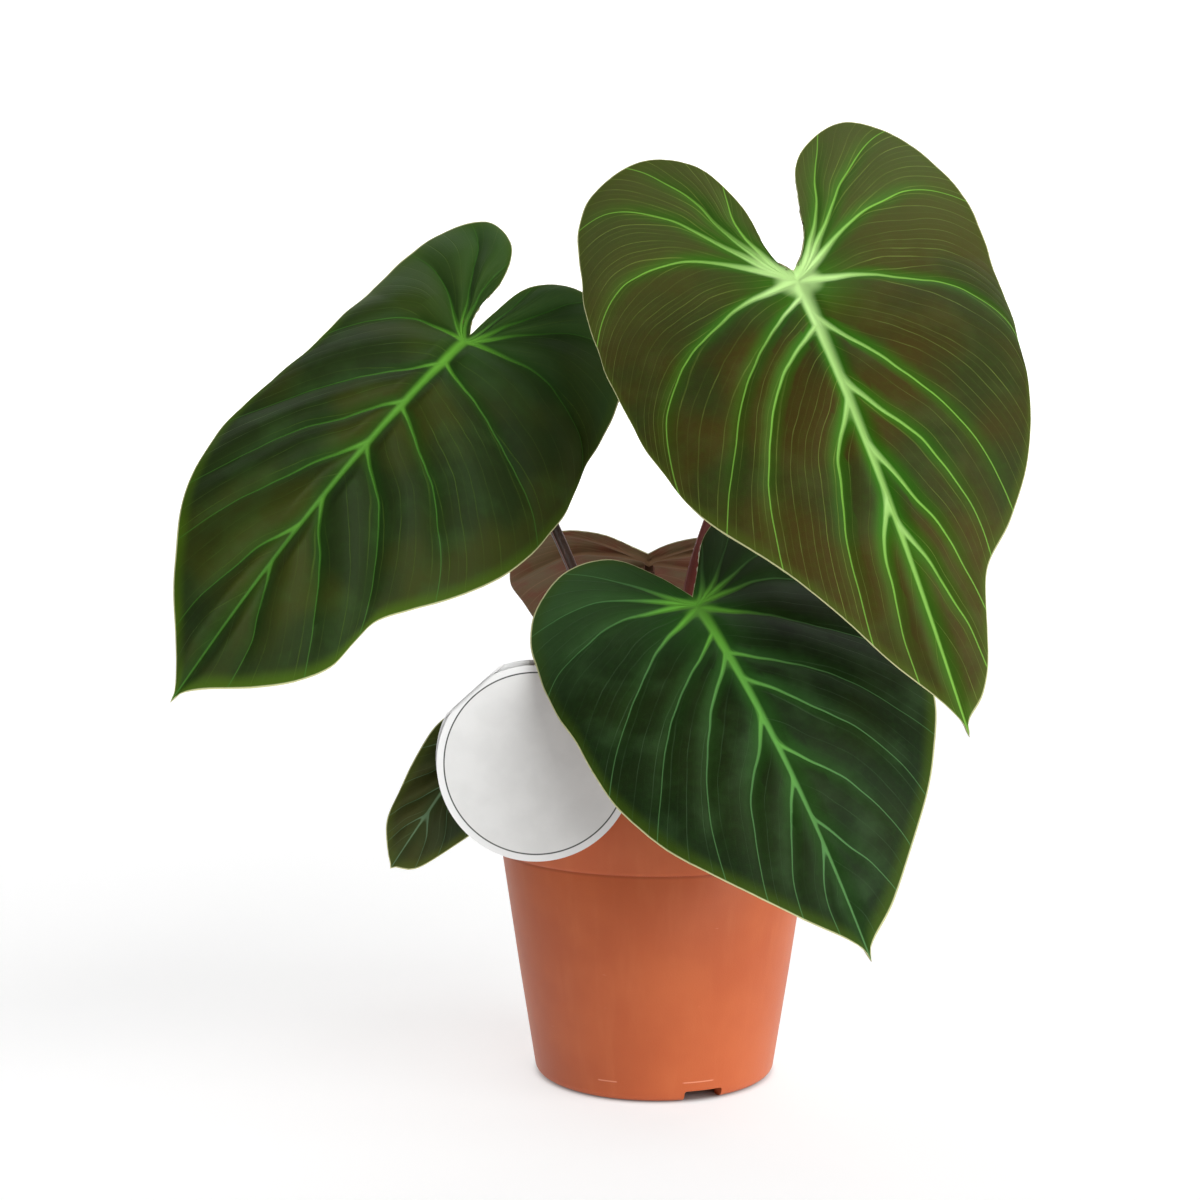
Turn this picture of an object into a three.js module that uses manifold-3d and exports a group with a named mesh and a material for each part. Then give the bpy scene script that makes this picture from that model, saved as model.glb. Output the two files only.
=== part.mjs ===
// A young velvet-leaved philodendron, growing in a terracotta-coloured plastic nursery pot.
// Millimetres, +Z up. The origin is the middle of the pot's underside. The plant's front looks along -Y.
import * as THREE from "three";
import { mergeVertices } from "three/addons/utils/BufferGeometryUtils.js";
import Module from "manifold-3d";

const wasm = await Module();
wasm.setup();

// Driving dimensions of the pot
const FIT = 0.3; // clearance that seated pieces keep
const POT_HEIGHT = 114;
const FOOT_RADIUS = 46.2;
const WALL_SLOPE = 0.145; // how much the radius grows per millimetre of height
const WALL = 1.6;
const FOOT_CORNER = 3.5;
const FLOOR_UNDERSIDE = 4;
const FLOOR_TOP = 6;
const FOOT_RING_INSIDE = 40;
const CENTRE_PAD_RADIUS = 12;
const BAND_BOTTOM = 87;
const BAND_PROUD = 0.5;
const RIM_ROUNDING = 1; // height of the softened edge at the top of the rim
const DRAFT = 1; // how far the short moulded sides under the floor lean
const FLOOR_CORNER = 3; // where the floor turns up into the wall, inside
const POT_SIDES = 56;
const DRAIN_NOTCHES = 3;
const FIRST_NOTCH_ANGLE = -68; // degrees round from +X, so the first notch is just right of the front
const NOTCH_WIDTH = 15;
const NOTCH_HEIGHT = 4;
const NOTCH_DEPTH = 20; // how far a notch's cutter runs in and out through the foot ring
const DRAIN_HOLE_RADIUS = 5;
const DRAIN_HOLE_RING = 28;
const DRAIN_HOLES = 6;
const DRAIN_HOLE_SIDES = 12;

// Driving dimensions of what fills the pot
const SOIL_EDGE_HEIGHT = 95;
const SOIL_CROWN = 3; // how far the middle of the soil stands above its edge
const SOIL_LUMP = 0.9;
const SOIL_SIDES = 32;
const SOIL_RINGS = [1, 0.8, 0.6, 0.4, 0.2]; // rings of the crown, as shares of its radius
const STEM_RADIUS = 8;
const STEM_BURIED = 26;
const STEM_TOP = 128;
const STEM_SIDES = 16;
// Old leaf scars ring the stem: [height, how far the surface lies inside the stem's radius]
const STEM_RINGS = [[104, 0], [106, 0.8], [108, 0.2], [115, 0.6], [117, 1.6], [119, 1.4]];

// Driving dimensions of every blade
const BLADE_THICKNESS = 1;
const RIB_HEIGHT = 2.4; // how far the midrib stands out under the blade, at the leaf base
const SINUS_DEPTH = 4; // from the leaf base to the bottom of the notch between the lobes
const VEINS_A_SIDE = 8;
const ROWS_A_VEIN = 3;
const COLUMNS = [0, 0.05, 0.2, 0.36, 0.52, 0.68, 0.84, 1];
const MARGIN_WAVES = 3; // waves along the margin of one half
const FAN_SHARE = 0.55; // share of the margin whose veins all fan from the leaf base
const BASAL_SHARE = 0.45; // where on the margin the large basal veins end
const BASAL_WIDTH = 0.16;
const BASAL_SWEEP = 0.42; // how far a basal vein bows, as a share of its length
const BODY_SWEEP = 0.16;

// Each blade: its base and tip, where its upper face looks, and the outline of each half as [along the
// midrib, out from the midrib]. bow is how far the midrib's middle stands above the line from base to tip,
// fold the slope and drop the fall of each half towards its margin, quilt the puff between the veins.
const BLADES = {
  large_right: {
    base: [50, -38, 301], tip: [99, -120, 149], faces: [0.05, -1, 0.45],
    bow: 17, fold: [-0.04, -0.04], drop: [12, 14], half: 80, quilt: 1.2, ripple: 1.5,
    left: [[-41, 8], [-65, 18], [-76, 36], [-66, 60], [-31, 72], [8, 76], [50, 73], [86, 63],
      [121, 39], [151, 20]],
    right: [[-40, 14], [-63, 24], [-76, 47], [-63, 67], [-28, 80], [8, 76], [48, 68], [85, 56],
      [116, 37], [132, 22], [152, 16], [171, 8]],
  },
  large_left: {
    base: [-73, 12, 281], tip: [-172, -62, 152], faces: [0.1, -1, 0.35],
    bow: 20, fold: [-0.22, -0.02], drop: [20, 14], half: 80, quilt: 2.5, ripple: 1.5,
    left: [[-30, 5], [-53, 13], [-59, 29], [-38, 43], [-5, 45], [40, 45], [80, 50], [110, 46],
      [141, 29], [162, 12]],
    right: [[-18, 1], [-40, 5], [-53, 20], [-51, 42], [-26, 59], [10, 66], [45, 72], [80, 66],
      [108, 50], [125, 42], [140, 38], [159, 23], [172, 6]],
  },
  front: {
    base: [13, -68, 185.5], tip: [66, -134, 77], faces: [0.1, -1, 0.75],
    bow: 16, fold: [-0.08, -0.08], drop: [16, 16], half: 75, quilt: 2, ripple: 1,
    left: [[-19, 8], [-32, 20], [-34, 36], [-22, 52], [5, 60], [40, 60], [70, 55], [98, 38], [120, 17]],
    right: [[-14, 7], [-30, 18], [-40, 36], [-32, 57], [0, 68], [35, 69], [62, 63], [84, 50],
      [105, 33], [125, 14]],
  },
  back: {
    base: [-1, 60, 194], tip: [8, 132, 96], faces: [0, 0.8, 1],
    bow: 14, fold: [-0.02, -0.02], drop: [9, 9], half: 60, quilt: 1.2, ripple: 1,
    left: [[-9, 7], [-13, 17], [-15, 31], [-10, 47], [6, 56], [28, 51], [56, 39], [85, 25], [108, 10]],
    right: [[-9, 6], [-20, 20], [-25, 36], [-17, 51], [2, 57], [28, 51], [56, 39], [85, 25], [108, 10]],
  },
  small_low: {
    base: [-62, -50, 139], tip: [-98, -40, 86], faces: [0.1, -1, 0.35],
    bow: 5, fold: [-0.2, -0.1], drop: [2, 2], half: 22, quilt: 0.8, ripple: 0.5,
    left: [[-5, 3], [-4, 8], [1, 13], [8, 15.6], [20, 15.5], [34, 14], [49, 11], [60, 4]],
    right: [[-7, 4], [-9, 10], [-4, 17], [8, 21], [22, 20], [36, 17], [49, 12.5], [60, 6.7]],
  },
};

// Each petiole: its radius, and the route of its middle from inside the stem to just below its blade
const PETIOLES = {
  large_right: {
    radius: 2.5,
    route: [[4, -1, 104], [8, 1, 122], [10, 2, 155], [14.5, 1, 191], [32, -6, 242], [46, -19, 280]],
  },
  large_left: {
    radius: 2.2,
    route: [[-4, 1, 106], [-9, 5, 122], [-17, 10, 152], [-28, 14, 184], [-51, 21, 234], [-67, 25, 262]],
  },
  front: { radius: 2.2, route: [[1, -4, 100], [3, -11, 116], [7, -28, 146], [11, -46, 167]] },
  back: { radius: 2.1, route: [[1, 4, 102], [2, 10, 118], [1, 24, 148], [-1, 41, 171]] },
  small_low: { radius: 1.6, route: [[-3, -3, 100], [-12, -9, 114], [-31, -24, 137], [-49, -33, 145]] },
};
const PETIOLE_SIDES = 10;
const PETIOLE_STEP = 11; // millimetres of route to one step of the tube
const SEAT = 3.5; // from the leaf base along the midrib to where the petiole meets the underside
const KNEE_LENGTH = 3.2; // straight end of the petiole under the blade, in its own radii

// Driving dimensions of the folded round tag, which hangs on the rim by a tab cut from its back disc
const TAG_RADIUS = 35;
const TAG_CARD = 0.8;
const TAG_GAP = 1.6; // space between the two discs
const TAG_CENTRE = new THREE.Vector3(-43.7, -64.2, 128.8);
const TAG_FOLD_ANGLE = 42; // degrees that the fold leans from level
const TAG_FOLD_REACH = 34.2; // from the middle of the disc to the fold
const TAG_BACK_SHIFT = new THREE.Vector3(-0.5, 0, 1.6);
const TAG_SIDES = 48;
const TAG_MARGIN = 5; // how far the uncut card reaches past the discs
const TAB_WIDTH = 12;
const TAB_ANGLE = 246; // degrees round from +X to the place on the rim where the tab hooks
const TAB_DROP = 8;

function toSolid(geometry) {
  const bare = geometry.index ? geometry.toNonIndexed() : geometry.clone();
  bare.deleteAttribute("normal");
  bare.deleteAttribute("uv");
  const merged = mergeVertices(bare, 1e-3);
  const corners = merged.index.array;
  const triVerts = [];
  for (let i = 0; i < corners.length; i += 3) {
    const [a, b, c] = corners.slice(i, i + 3);
    if (a !== b && b !== c && a !== c) triVerts.push(a, b, c);
  }
  const vertProperties = new Float32Array(merged.attributes.position.array);
  const mesh = new wasm.Mesh({ numProp: 3, vertProperties, triVerts: new Uint32Array(triVerts) });
  return new wasm.Manifold(mesh);
}

function largestPiece(solid) {
  return solid.decompose().sort((a, b) => b.volume() - a.volume())[0];
}

function toNamedMesh(name, solid, material) {
  const { vertProperties, triVerts } = solid.getMesh();
  const geometry = new THREE.BufferGeometry();
  geometry.setAttribute("position", new THREE.BufferAttribute(new Float32Array(vertProperties), 3));
  geometry.setIndex(new THREE.BufferAttribute(new Uint32Array(triVerts), 1));
  geometry.computeVertexNormals();
  const mesh = new THREE.Mesh(geometry, material);
  mesh.name = name;
  return mesh;
}

// A shape of revolution about Z, from [radius, height] points
function latheAboutZ(profile, sides) {
  const points = profile.map(([radius, height]) => new THREE.Vector2(radius, height));
  return new THREE.LatheGeometry(points, sides).rotateX(Math.PI / 2);
}

function uprightCylinder(radius, bottom, top, sides, x = 0, y = 0) {
  const cylinder = new THREE.CylinderGeometry(radius, radius, top - bottom, sides).rotateX(Math.PI / 2);
  return toSolid(cylinder.translate(x, y, (top + bottom) / 2));
}

const wallRadius = (z) => FOOT_RADIUS + WALL_SLOPE * z;

function potSolid() {
  const inside = (z) => wallRadius(z) - WALL;
  const corner = [];
  for (const turn of [-90, -60, -30]) {
    const angle = THREE.MathUtils.degToRad(turn);
    const radius = FOOT_RADIUS - FOOT_CORNER * (1 - Math.cos(angle));
    corner.push([radius, FOOT_CORNER * (1 + Math.sin(angle))]);
  }
  const profile = [
    [0, 0], [CENTRE_PAD_RADIUS, 0], [CENTRE_PAD_RADIUS + DRAFT, FLOOR_UNDERSIDE],
    [FOOT_RING_INSIDE - DRAFT, FLOOR_UNDERSIDE], [FOOT_RING_INSIDE, 0],
    ...corner,
    [wallRadius(FOOT_CORNER), FOOT_CORNER], [wallRadius(BAND_BOTTOM), BAND_BOTTOM],
    [wallRadius(BAND_BOTTOM) + BAND_PROUD, BAND_BOTTOM + BAND_PROUD],
    [wallRadius(POT_HEIGHT) + BAND_PROUD, POT_HEIGHT - RIM_ROUNDING],
    [wallRadius(POT_HEIGHT) - BAND_PROUD, POT_HEIGHT],
    [inside(POT_HEIGHT) + BAND_PROUD / 2, POT_HEIGHT],
    [inside(POT_HEIGHT), POT_HEIGHT - RIM_ROUNDING],
    [inside(FLOOR_TOP + FLOOR_CORNER), FLOOR_TOP + FLOOR_CORNER],
    [inside(FLOOR_TOP) - FLOOR_CORNER, FLOOR_TOP],
    [0, FLOOR_TOP],
  ];
  let pot = toSolid(latheAboutZ(profile, POT_SIDES));
  for (let i = 0; i < DRAIN_NOTCHES; i++) {
    const angle = THREE.MathUtils.degToRad(FIRST_NOTCH_ANGLE) + (i * 2 * Math.PI) / DRAIN_NOTCHES;
    const notch = new THREE.BoxGeometry(NOTCH_DEPTH, NOTCH_WIDTH, 2 * NOTCH_HEIGHT);
    pot = pot.subtract(toSolid(notch.translate(FOOT_RADIUS, 0, 0).rotateZ(angle)));
  }
  for (let i = 0; i < DRAIN_HOLES; i++) {
    const angle = (i * 2 * Math.PI) / DRAIN_HOLES;
    const [x, y] = [DRAIN_HOLE_RING * Math.cos(angle), DRAIN_HOLE_RING * Math.sin(angle)];
    const [below, above] = [FLOOR_UNDERSIDE - 1, FLOOR_TOP + 1];
    pot = pot.subtract(uprightCylinder(DRAIN_HOLE_RADIUS, below, above, DRAIN_HOLE_SIDES, x, y));
  }
  return pot;
}

// The growing medium: it fills the pot with a fitting gap, and its crown is uneven
function soilSolid() {
  const edge = (z) => wallRadius(z) - WALL - FIT;
  const bottom = FLOOR_TOP + FIT;
  const profile = [
    [0, bottom], [edge(bottom) - FLOOR_CORNER - FIT, bottom],
    [edge(bottom + FLOOR_CORNER), bottom + FLOOR_CORNER],
  ];
  for (const share of SOIL_RINGS) {
    profile.push([edge(SOIL_EDGE_HEIGHT) * share, SOIL_EDGE_HEIGHT + SOIL_CROWN * (1 - share * share)]);
  }
  profile.push([0, SOIL_EDGE_HEIGHT + SOIL_CROWN]);
  const lathe = latheAboutZ(profile, SOIL_SIDES);
  const position = lathe.attributes.position;
  for (let i = 0; i < position.count; i++) {
    const [x, y, z] = [position.getX(i), position.getY(i), position.getZ(i)];
    const broad = Math.sin(0.31 * x + 1) * Math.cos(0.27 * y);
    const fine = 0.5 * Math.sin(0.6 * (x + y));
    const lump = SOIL_LUMP * (broad + fine) * (1 - Math.hypot(x, y) / POT_HEIGHT);
    if (z >= SOIL_EDGE_HEIGHT - FIT) position.setZ(i, z + lump);
  }
  const holeBottom = SOIL_EDGE_HEIGHT - STEM_BURIED - FIT;
  return toSolid(lathe).subtract(uprightCylinder(STEM_RADIUS + FIT, holeBottom, STEM_TOP, STEM_SIDES));
}

// The short main stem, rooted in the medium; grow makes it fatter, for cutting a seat
function stemSolid(grow = 0) {
  const radius = STEM_RADIUS + grow;
  const bottom = SOIL_EDGE_HEIGHT - STEM_BURIED - grow;
  const top = STEM_TOP + grow;
  const rings = STEM_RINGS.map(([height, inset]) => [radius - inset, height]);
  const profile = [
    [0, bottom], [radius - 1.5, bottom], [radius, bottom + 2], ...rings,
    [radius - 3, top - 3], [radius - 5.5, top], [0, top],
  ];
  return toSolid(latheAboutZ(profile, STEM_SIDES));
}

// Where a vein row of one half starts on the midrib, for its share 0 to 1 of the way round the margin
function rowStart(share, length) {
  const past = Math.max(0, (share - FAN_SHARE) / (1 - FAN_SHARE));
  return 0.96 * length * past ** 2.6;
}

// How far a vein row bows from the straight line, as a share of its length; none at the margin's ends
function rowSweep(share) {
  const basal = Math.exp(-(((share - BASAL_SHARE) / BASAL_WIDTH) ** 2));
  const body = share > BASAL_SHARE ? BODY_SWEEP * (1 - basal) : 0;
  return (0.05 + BASAL_SWEEP * basal + body) * (4 * share * (1 - share)) ** 0.25;
}

class Blade {
  constructor(form) {
    this.form = form;
    this.base = new THREE.Vector3(...form.base);
    const run = new THREE.Vector3(...form.tip).sub(this.base);
    this.length = run.length();
    this.along = run.clone().normalize();
    this.up = new THREE.Vector3(...form.faces).projectOnPlane(this.along).normalize();
    this.right = this.up.clone().cross(this.along);
  }

  // Height of the blade over its flat plane: bow, fold, falling margins
  rise(along, across) {
    const { bow, fold, drop, half } = this.form;
    const side = across >= 0 ? 1 : 0;
    const share = along / this.length;
    const middle = along < 0 ? 2 * bow * share : 4 * bow * share * (1 - share);
    return middle + fold[side] * (Math.hypot(across, 4) - 4) - drop[side] * (across / half) ** 2;
  }

  place(along, across, height) {
    return this.base.clone().addScaledVector(this.along, along).addScaledVector(this.right, across)
      .addScaledVector(this.up, height);
  }

  // The point of one half at a row (share round the margin) and column (share out along the vein row)
  surface(edge, side, row, rows, out) {
    const { quilt, ripple } = this.form;
    const share = row / rows;
    const start = new THREE.Vector2(rowStart(share, this.length), 0);
    const reach = edge[row].clone().sub(start);
    const bend = start.clone().addScaledVector(reach, 0.5)
      .addScaledVector(new THREE.Vector2(-reach.y, reach.x), rowSweep(share));
    const vein = new THREE.QuadraticBezierCurve(start, bend, edge[row]).getPoint(out);
    const puff = quilt * Math.abs(Math.sin(Math.PI * share * VEINS_A_SIDE)) * 2 * out * (1 - 0.9 * out);
    const swing = Math.sin(2 * Math.PI * MARGIN_WAVES * share + side) * 4 * share * (1 - share);
    const wave = ripple * out ** 3 * swing;
    const across = side * vein.y;
    return [vein.x, across, this.rise(vein.x, across) + puff + wave];
  }

  // The closed blade, with its midrib standing out below; grow makes it thicker on both faces
  solid(grow = 0) {
    const rows = VEINS_A_SIDE * ROWS_A_VEIN;
    const corners = [];
    const quad = (a, b, c, d, flip) => corners.push(...(flip ? [a, c, b, a, d, c] : [a, b, c, a, c, d]));
    for (const side of [-1, 1]) {
      const outline = side < 0 ? this.form.left : this.form.right;
      const ends = [[-SINUS_DEPTH, 0], ...outline, [this.length, 0]];
      const margin = new THREE.CatmullRomCurve3(ends.map(([x, y]) => new THREE.Vector3(x, y, 0)));
      const edge = margin.getSpacedPoints(rows).map(({ x, y }) => new THREE.Vector2(x, y));
      const top = [];
      const bottom = [];
      for (let row = 0; row <= rows; row++) {
        const line = COLUMNS.map((out) => this.surface(edge, side, row, rows, out));
        const ribs = line.map(([along], i) => (i ? 0 : RIB_HEIGHT * (1 - 0.75 * (along / this.length))));
        top.push(line.map(([along, across, height]) => this.place(along, across, height + grow)));
        bottom.push(line.map(([along, across, height], i) =>
          this.place(along, across, height - BLADE_THICKNESS - ribs[i] - grow)));
      }
      const flip = side < 0;
      const last = COLUMNS.length - 1;
      for (let i = 0; i < rows; i++) {
        for (let j = 0; j < last; j++) {
          quad(top[i][j], top[i + 1][j], top[i + 1][j + 1], top[i][j + 1], flip);
          quad(bottom[i][j], bottom[i + 1][j], bottom[i + 1][j + 1], bottom[i][j + 1], !flip);
        }
        quad(top[i][last], top[i + 1][last], bottom[i + 1][last], bottom[i][last], flip);
      }
    }
    return toSolid(new THREE.BufferGeometry().setFromPoints(corners));
  }
}

// A petiole runs from the stem to its blade, and is cut to seat on both with the fitting gap
function petioleSolid({ radius, route }, blade, stem) {
  const underside = blade.rise(SEAT, 0) - BLADE_THICKNESS - RIB_HEIGHT;
  const knee = blade.place(SEAT, 0, underside - KNEE_LENGTH * radius);
  const seat = blade.place(SEAT, 0, blade.rise(SEAT, 0));
  const path = new THREE.CatmullRomCurve3([...route.map((p) => new THREE.Vector3(...p)), knee, seat]);
  const round = new THREE.EllipseCurve(0, 0, radius, radius).getPoints(PETIOLE_SIDES);
  const section = new THREE.Shape(round.slice(0, -1));
  const steps = Math.ceil(path.getLength() / PETIOLE_STEP);
  const tube = new THREE.ExtrudeGeometry(section, { steps, extrudePath: path, bevelEnabled: false });
  return largestPiece(toSolid(tube).subtract(stem).subtract(blade.solid(FIT)));
}

// The tag: one round card folded near its top left edge, with a tab that hooks over the rim
function tagSolid() {
  const lean = THREE.MathUtils.degToRad(TAG_FOLD_ANGLE);
  const alongFold = new THREE.Vector3(Math.cos(lean), 0, Math.sin(lean));
  const toFold = new THREE.Vector3(-Math.sin(lean), 0, Math.cos(lean));
  const forward = new THREE.Vector3(0, -1, 0);
  const inner = TAG_GAP / 2;
  const outer = inner + TAG_CARD;
  const far = -TAG_RADIUS - TAG_MARGIN;
  const bend = TAG_FOLD_REACH - outer;
  const hairpin = new THREE.Shape();
  hairpin.moveTo(far, outer).lineTo(bend, outer).absarc(bend, 0, outer, Math.PI / 2, -Math.PI / 2, true);
  hairpin.lineTo(far, -outer).lineTo(far, -inner).lineTo(bend, -inner);
  hairpin.absarc(bend, 0, inner, -Math.PI / 2, Math.PI / 2, false).lineTo(far, inner).closePath();
  const width = 2 * (TAG_RADIUS + TAG_MARGIN);
  const card = new THREE.ExtrudeGeometry(hairpin, { depth: width, bevelEnabled: false, curveSegments: 6 });
  card.translate(0, 0, -width / 2).applyMatrix4(new THREE.Matrix4().makeBasis(toFold, forward, alongFold));
  const disc = () => new THREE.CylinderGeometry(TAG_RADIUS, TAG_RADIUS, 2 * outer, TAG_SIDES);
  const front = toSolid(disc().translate(0, -outer, 0));
  const back = toSolid(disc().translate(TAG_BACK_SHIFT.x, outer, TAG_BACK_SHIFT.z));
  const cut = toSolid(card).intersect(front.add(back));
  return largestPiece(cut).translate(TAG_CENTRE.toArray()).add(tabSolid());
}

// The tab runs from the back disc over the rim and down inside the wall
function tabSolid() {
  const angle = THREE.MathUtils.degToRad(TAB_ANGLE);
  const outward = new THREE.Vector3(Math.cos(angle), Math.sin(angle), 0);
  const over = POT_HEIGHT + FIT;
  const inside = wallRadius(POT_HEIGHT) - WALL - 2 * FIT;
  const slant = 2 * WALL_SLOPE * TAB_DROP;
  const backFace = -(TAG_CENTRE.y + TAG_GAP / 2 + TAG_CARD / 2);
  const reach = backFace / -Math.sin(angle);
  const hook = new THREE.Shape();
  hook.moveTo(reach, over).lineTo(reach, over + TAG_CARD).lineTo(inside - TAG_CARD, over + TAG_CARD);
  hook.lineTo(inside - TAG_CARD - slant, over - TAB_DROP).lineTo(inside - slant, over - TAB_DROP);
  hook.lineTo(inside, over).closePath();
  const strip = new THREE.ExtrudeGeometry(hook, { depth: TAB_WIDTH, bevelEnabled: false });
  strip.translate(0, 0, -TAB_WIDTH / 2);
  const up = new THREE.Vector3(0, 0, 1);
  return toSolid(strip.applyMatrix4(new THREE.Matrix4().makeBasis(outward, up, outward.clone().cross(up))));
}

const plastic = () => new THREE.MeshStandardMaterial({ color: 0xc4653f, roughness: 0.55, metalness: 0 });
const medium = () => new THREE.MeshStandardMaterial({ color: 0x3b2b20, roughness: 1, metalness: 0 });
const leafGreen = (color) => new THREE.MeshStandardMaterial({ color, roughness: 0.6, metalness: 0 });
const stalk = () => new THREE.MeshStandardMaterial({ color: 0x5a2f2c, roughness: 0.6, metalness: 0 });
const card = () => new THREE.MeshStandardMaterial({ color: 0xdedfdb, roughness: 0.7, metalness: 0 });

const BLADE_COLOURS = {
  large_right: 0x4a5a20,
  large_left: 0x2f4a24,
  front: 0x24401c,
  back: 0x6b4a3f,
  small_low: 0x2c3f24,
};

const plant = new THREE.Group();
plant.add(toNamedMesh("pot", potSolid(), plastic()));
plant.add(toNamedMesh("soil", soilSolid(), medium()));
plant.add(toNamedMesh("stem", stemSolid(), stalk()));
const grownStem = stemSolid(FIT);
for (const [name, form] of Object.entries(BLADES)) {
  const blade = new Blade(form);
  plant.add(toNamedMesh(`leaf_${name}`, blade.solid(), leafGreen(BLADE_COLOURS[name])));
  plant.add(toNamedMesh(`petiole_${name}`, petioleSolid(PETIOLES[name], blade, grownStem), stalk()));
}
plant.add(toNamedMesh("tag", tagSolid(), card()));

export default plant;
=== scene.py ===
# %% [markdown]
# # A young velvet-leaved philodendron in a nursery pot
# The plant has five heart-shaped blades on long petioles, a short stem, a pot full of growing medium and a
# folded round tag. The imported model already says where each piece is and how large. This lesson gives every
# piece its finish: finer meshes for the blades with their vein network, smooth petioles, crumbly medium, a
# moulded pot and a card tag. Sizes are in millimetres and are turned into Blender's metres by `MM`.

# %% Load the frame
import math
import random

import bpy
import numpy as np
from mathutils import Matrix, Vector


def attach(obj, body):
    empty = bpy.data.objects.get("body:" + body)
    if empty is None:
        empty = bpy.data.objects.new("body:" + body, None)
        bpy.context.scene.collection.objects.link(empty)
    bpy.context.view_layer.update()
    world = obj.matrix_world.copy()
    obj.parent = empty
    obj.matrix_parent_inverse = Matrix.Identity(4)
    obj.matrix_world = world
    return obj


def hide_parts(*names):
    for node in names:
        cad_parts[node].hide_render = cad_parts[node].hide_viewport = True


MM = 0.001
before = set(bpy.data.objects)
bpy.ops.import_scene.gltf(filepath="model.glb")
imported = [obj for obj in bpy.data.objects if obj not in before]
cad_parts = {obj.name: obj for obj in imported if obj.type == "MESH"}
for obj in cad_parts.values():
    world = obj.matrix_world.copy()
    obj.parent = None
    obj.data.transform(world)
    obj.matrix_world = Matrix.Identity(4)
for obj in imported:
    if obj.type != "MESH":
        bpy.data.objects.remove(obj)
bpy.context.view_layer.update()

# %% [markdown]
# ## The camera
# The view is level with the upper leaves and tilts down a little, with a long lens, as product photographs
# are taken. The place was worked out from the pot, whose rim and foot are circles of known size.

# %% Camera
CAMERA_PLACE = (-21, -800, 242)
CAMERA_TILT = 4.3  # degrees below level
LENS = 62.91  # millimetres

bpy.ops.object.camera_add(
    location=[v * MM for v in CAMERA_PLACE],
    rotation=(math.radians(90 - CAMERA_TILT), 0, 0),
)
camera = bpy.context.object
camera.data.lens = LENS
bpy.context.scene.camera = camera
print("camera stands", -CAMERA_PLACE[1], "mm in front of the pot's middle")

# %% [markdown]
# ## Helpers for modelling
# An operator acts on everything that is selected, and a freshly loaded model is selected all over, so each
# primitive starts from a clean selection. Ring by ring extrusion turns a circle into a round piece, like a
# potter's wheel: each ring is extruded from the last one, lifted, and scaled about the axis.

# %% Modelling helpers
def clear_selection():
    if bpy.context.object and bpy.context.object.mode != "OBJECT":
        bpy.ops.object.mode_set(mode="OBJECT")
    bpy.ops.object.select_all(action="DESELECT")


def only(piece):
    """Selects one piece and makes it the active one."""
    clear_selection()
    piece.select_set(True)
    bpy.context.view_layer.objects.active = piece


def settle(piece):
    """Puts the piece's place into its mesh, so that its object is at the origin."""
    only(piece)
    bpy.ops.object.transform_apply(location=True, rotation=True, scale=True)


def apply_modifiers(piece):
    only(piece)
    for name in [modifier.name for modifier in piece.modifiers]:
        bpy.ops.object.modifier_apply(modifier=name)


def combine(piece, other, operation):
    """Joins the other piece on, cuts it away, or keeps what both share; the other is then gone."""
    boolean = piece.modifiers.new(operation.lower(), "BOOLEAN")
    boolean.operation = operation
    boolean.solver = "EXACT"
    boolean.object = other
    apply_modifiers(piece)
    bpy.data.objects.remove(other)


def face_outwards(piece):
    only(piece)
    bpy.ops.object.mode_set(mode="EDIT")
    bpy.ops.mesh.select_all(action="SELECT")
    bpy.ops.mesh.normals_make_consistent(inside=False)
    bpy.ops.object.mode_set(mode="OBJECT")


def turned_piece(name, profile, sides=128):
    """A round piece about Z through a list of (radius, height) in millimetres, flat at both ends."""
    clear_selection()
    radius, height = profile[0]
    bpy.ops.mesh.primitive_circle_add(
        vertices=sides, radius=radius * MM, fill_type="NGON", location=(0, 0, height * MM)
    )
    piece = bpy.context.object
    piece.name = name
    settle(piece)
    bpy.ops.object.mode_set(mode="EDIT")
    bpy.ops.mesh.select_all(action="SELECT")
    for new_radius, new_height in profile[1:]:
        bpy.ops.mesh.extrude_region_move(
            TRANSFORM_OT_translate={"value": (0, 0, (new_height - height) * MM)}
        )
        grow = new_radius / radius
        bpy.ops.transform.resize(
            value=(grow, grow, 1), center_override=(0, 0, new_height * MM)
        )
        radius, height = new_radius, new_height
    face_outwards(piece)
    return piece


def finish_piece(piece, slot, *nodes, angle=40):
    """Shades a piece, sets it on its body, and lets it stand for its CAD nodes."""
    only(piece)
    bpy.ops.object.shade_smooth_by_angle(angle=math.radians(angle))
    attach(piece, "root")
    if nodes:
        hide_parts(*nodes)
    clear_selection()
    print(piece.name, len(piece.data.polygons), "faces")


# %% [markdown]
# ## Helpers for materials
# A finish is a small network of nodes that ends in one Principled shader. Numbers that are the same all over
# the surface are set on the shader itself. Colours are written as they look on a screen, and `paint` turns
# them into the linear values that the renderer works in.

# %% Material helpers
def paint(code):
    """Linear colour from a screen colour such as "c4653f"."""
    parts = [int(code[i : i + 2], 16) / 255 for i in (0, 2, 4)]
    linear = [c / 12.92 if c <= 0.04045 else ((c + 0.055) / 1.055) ** 2.4 for c in parts]
    return (*linear, 1)


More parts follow.
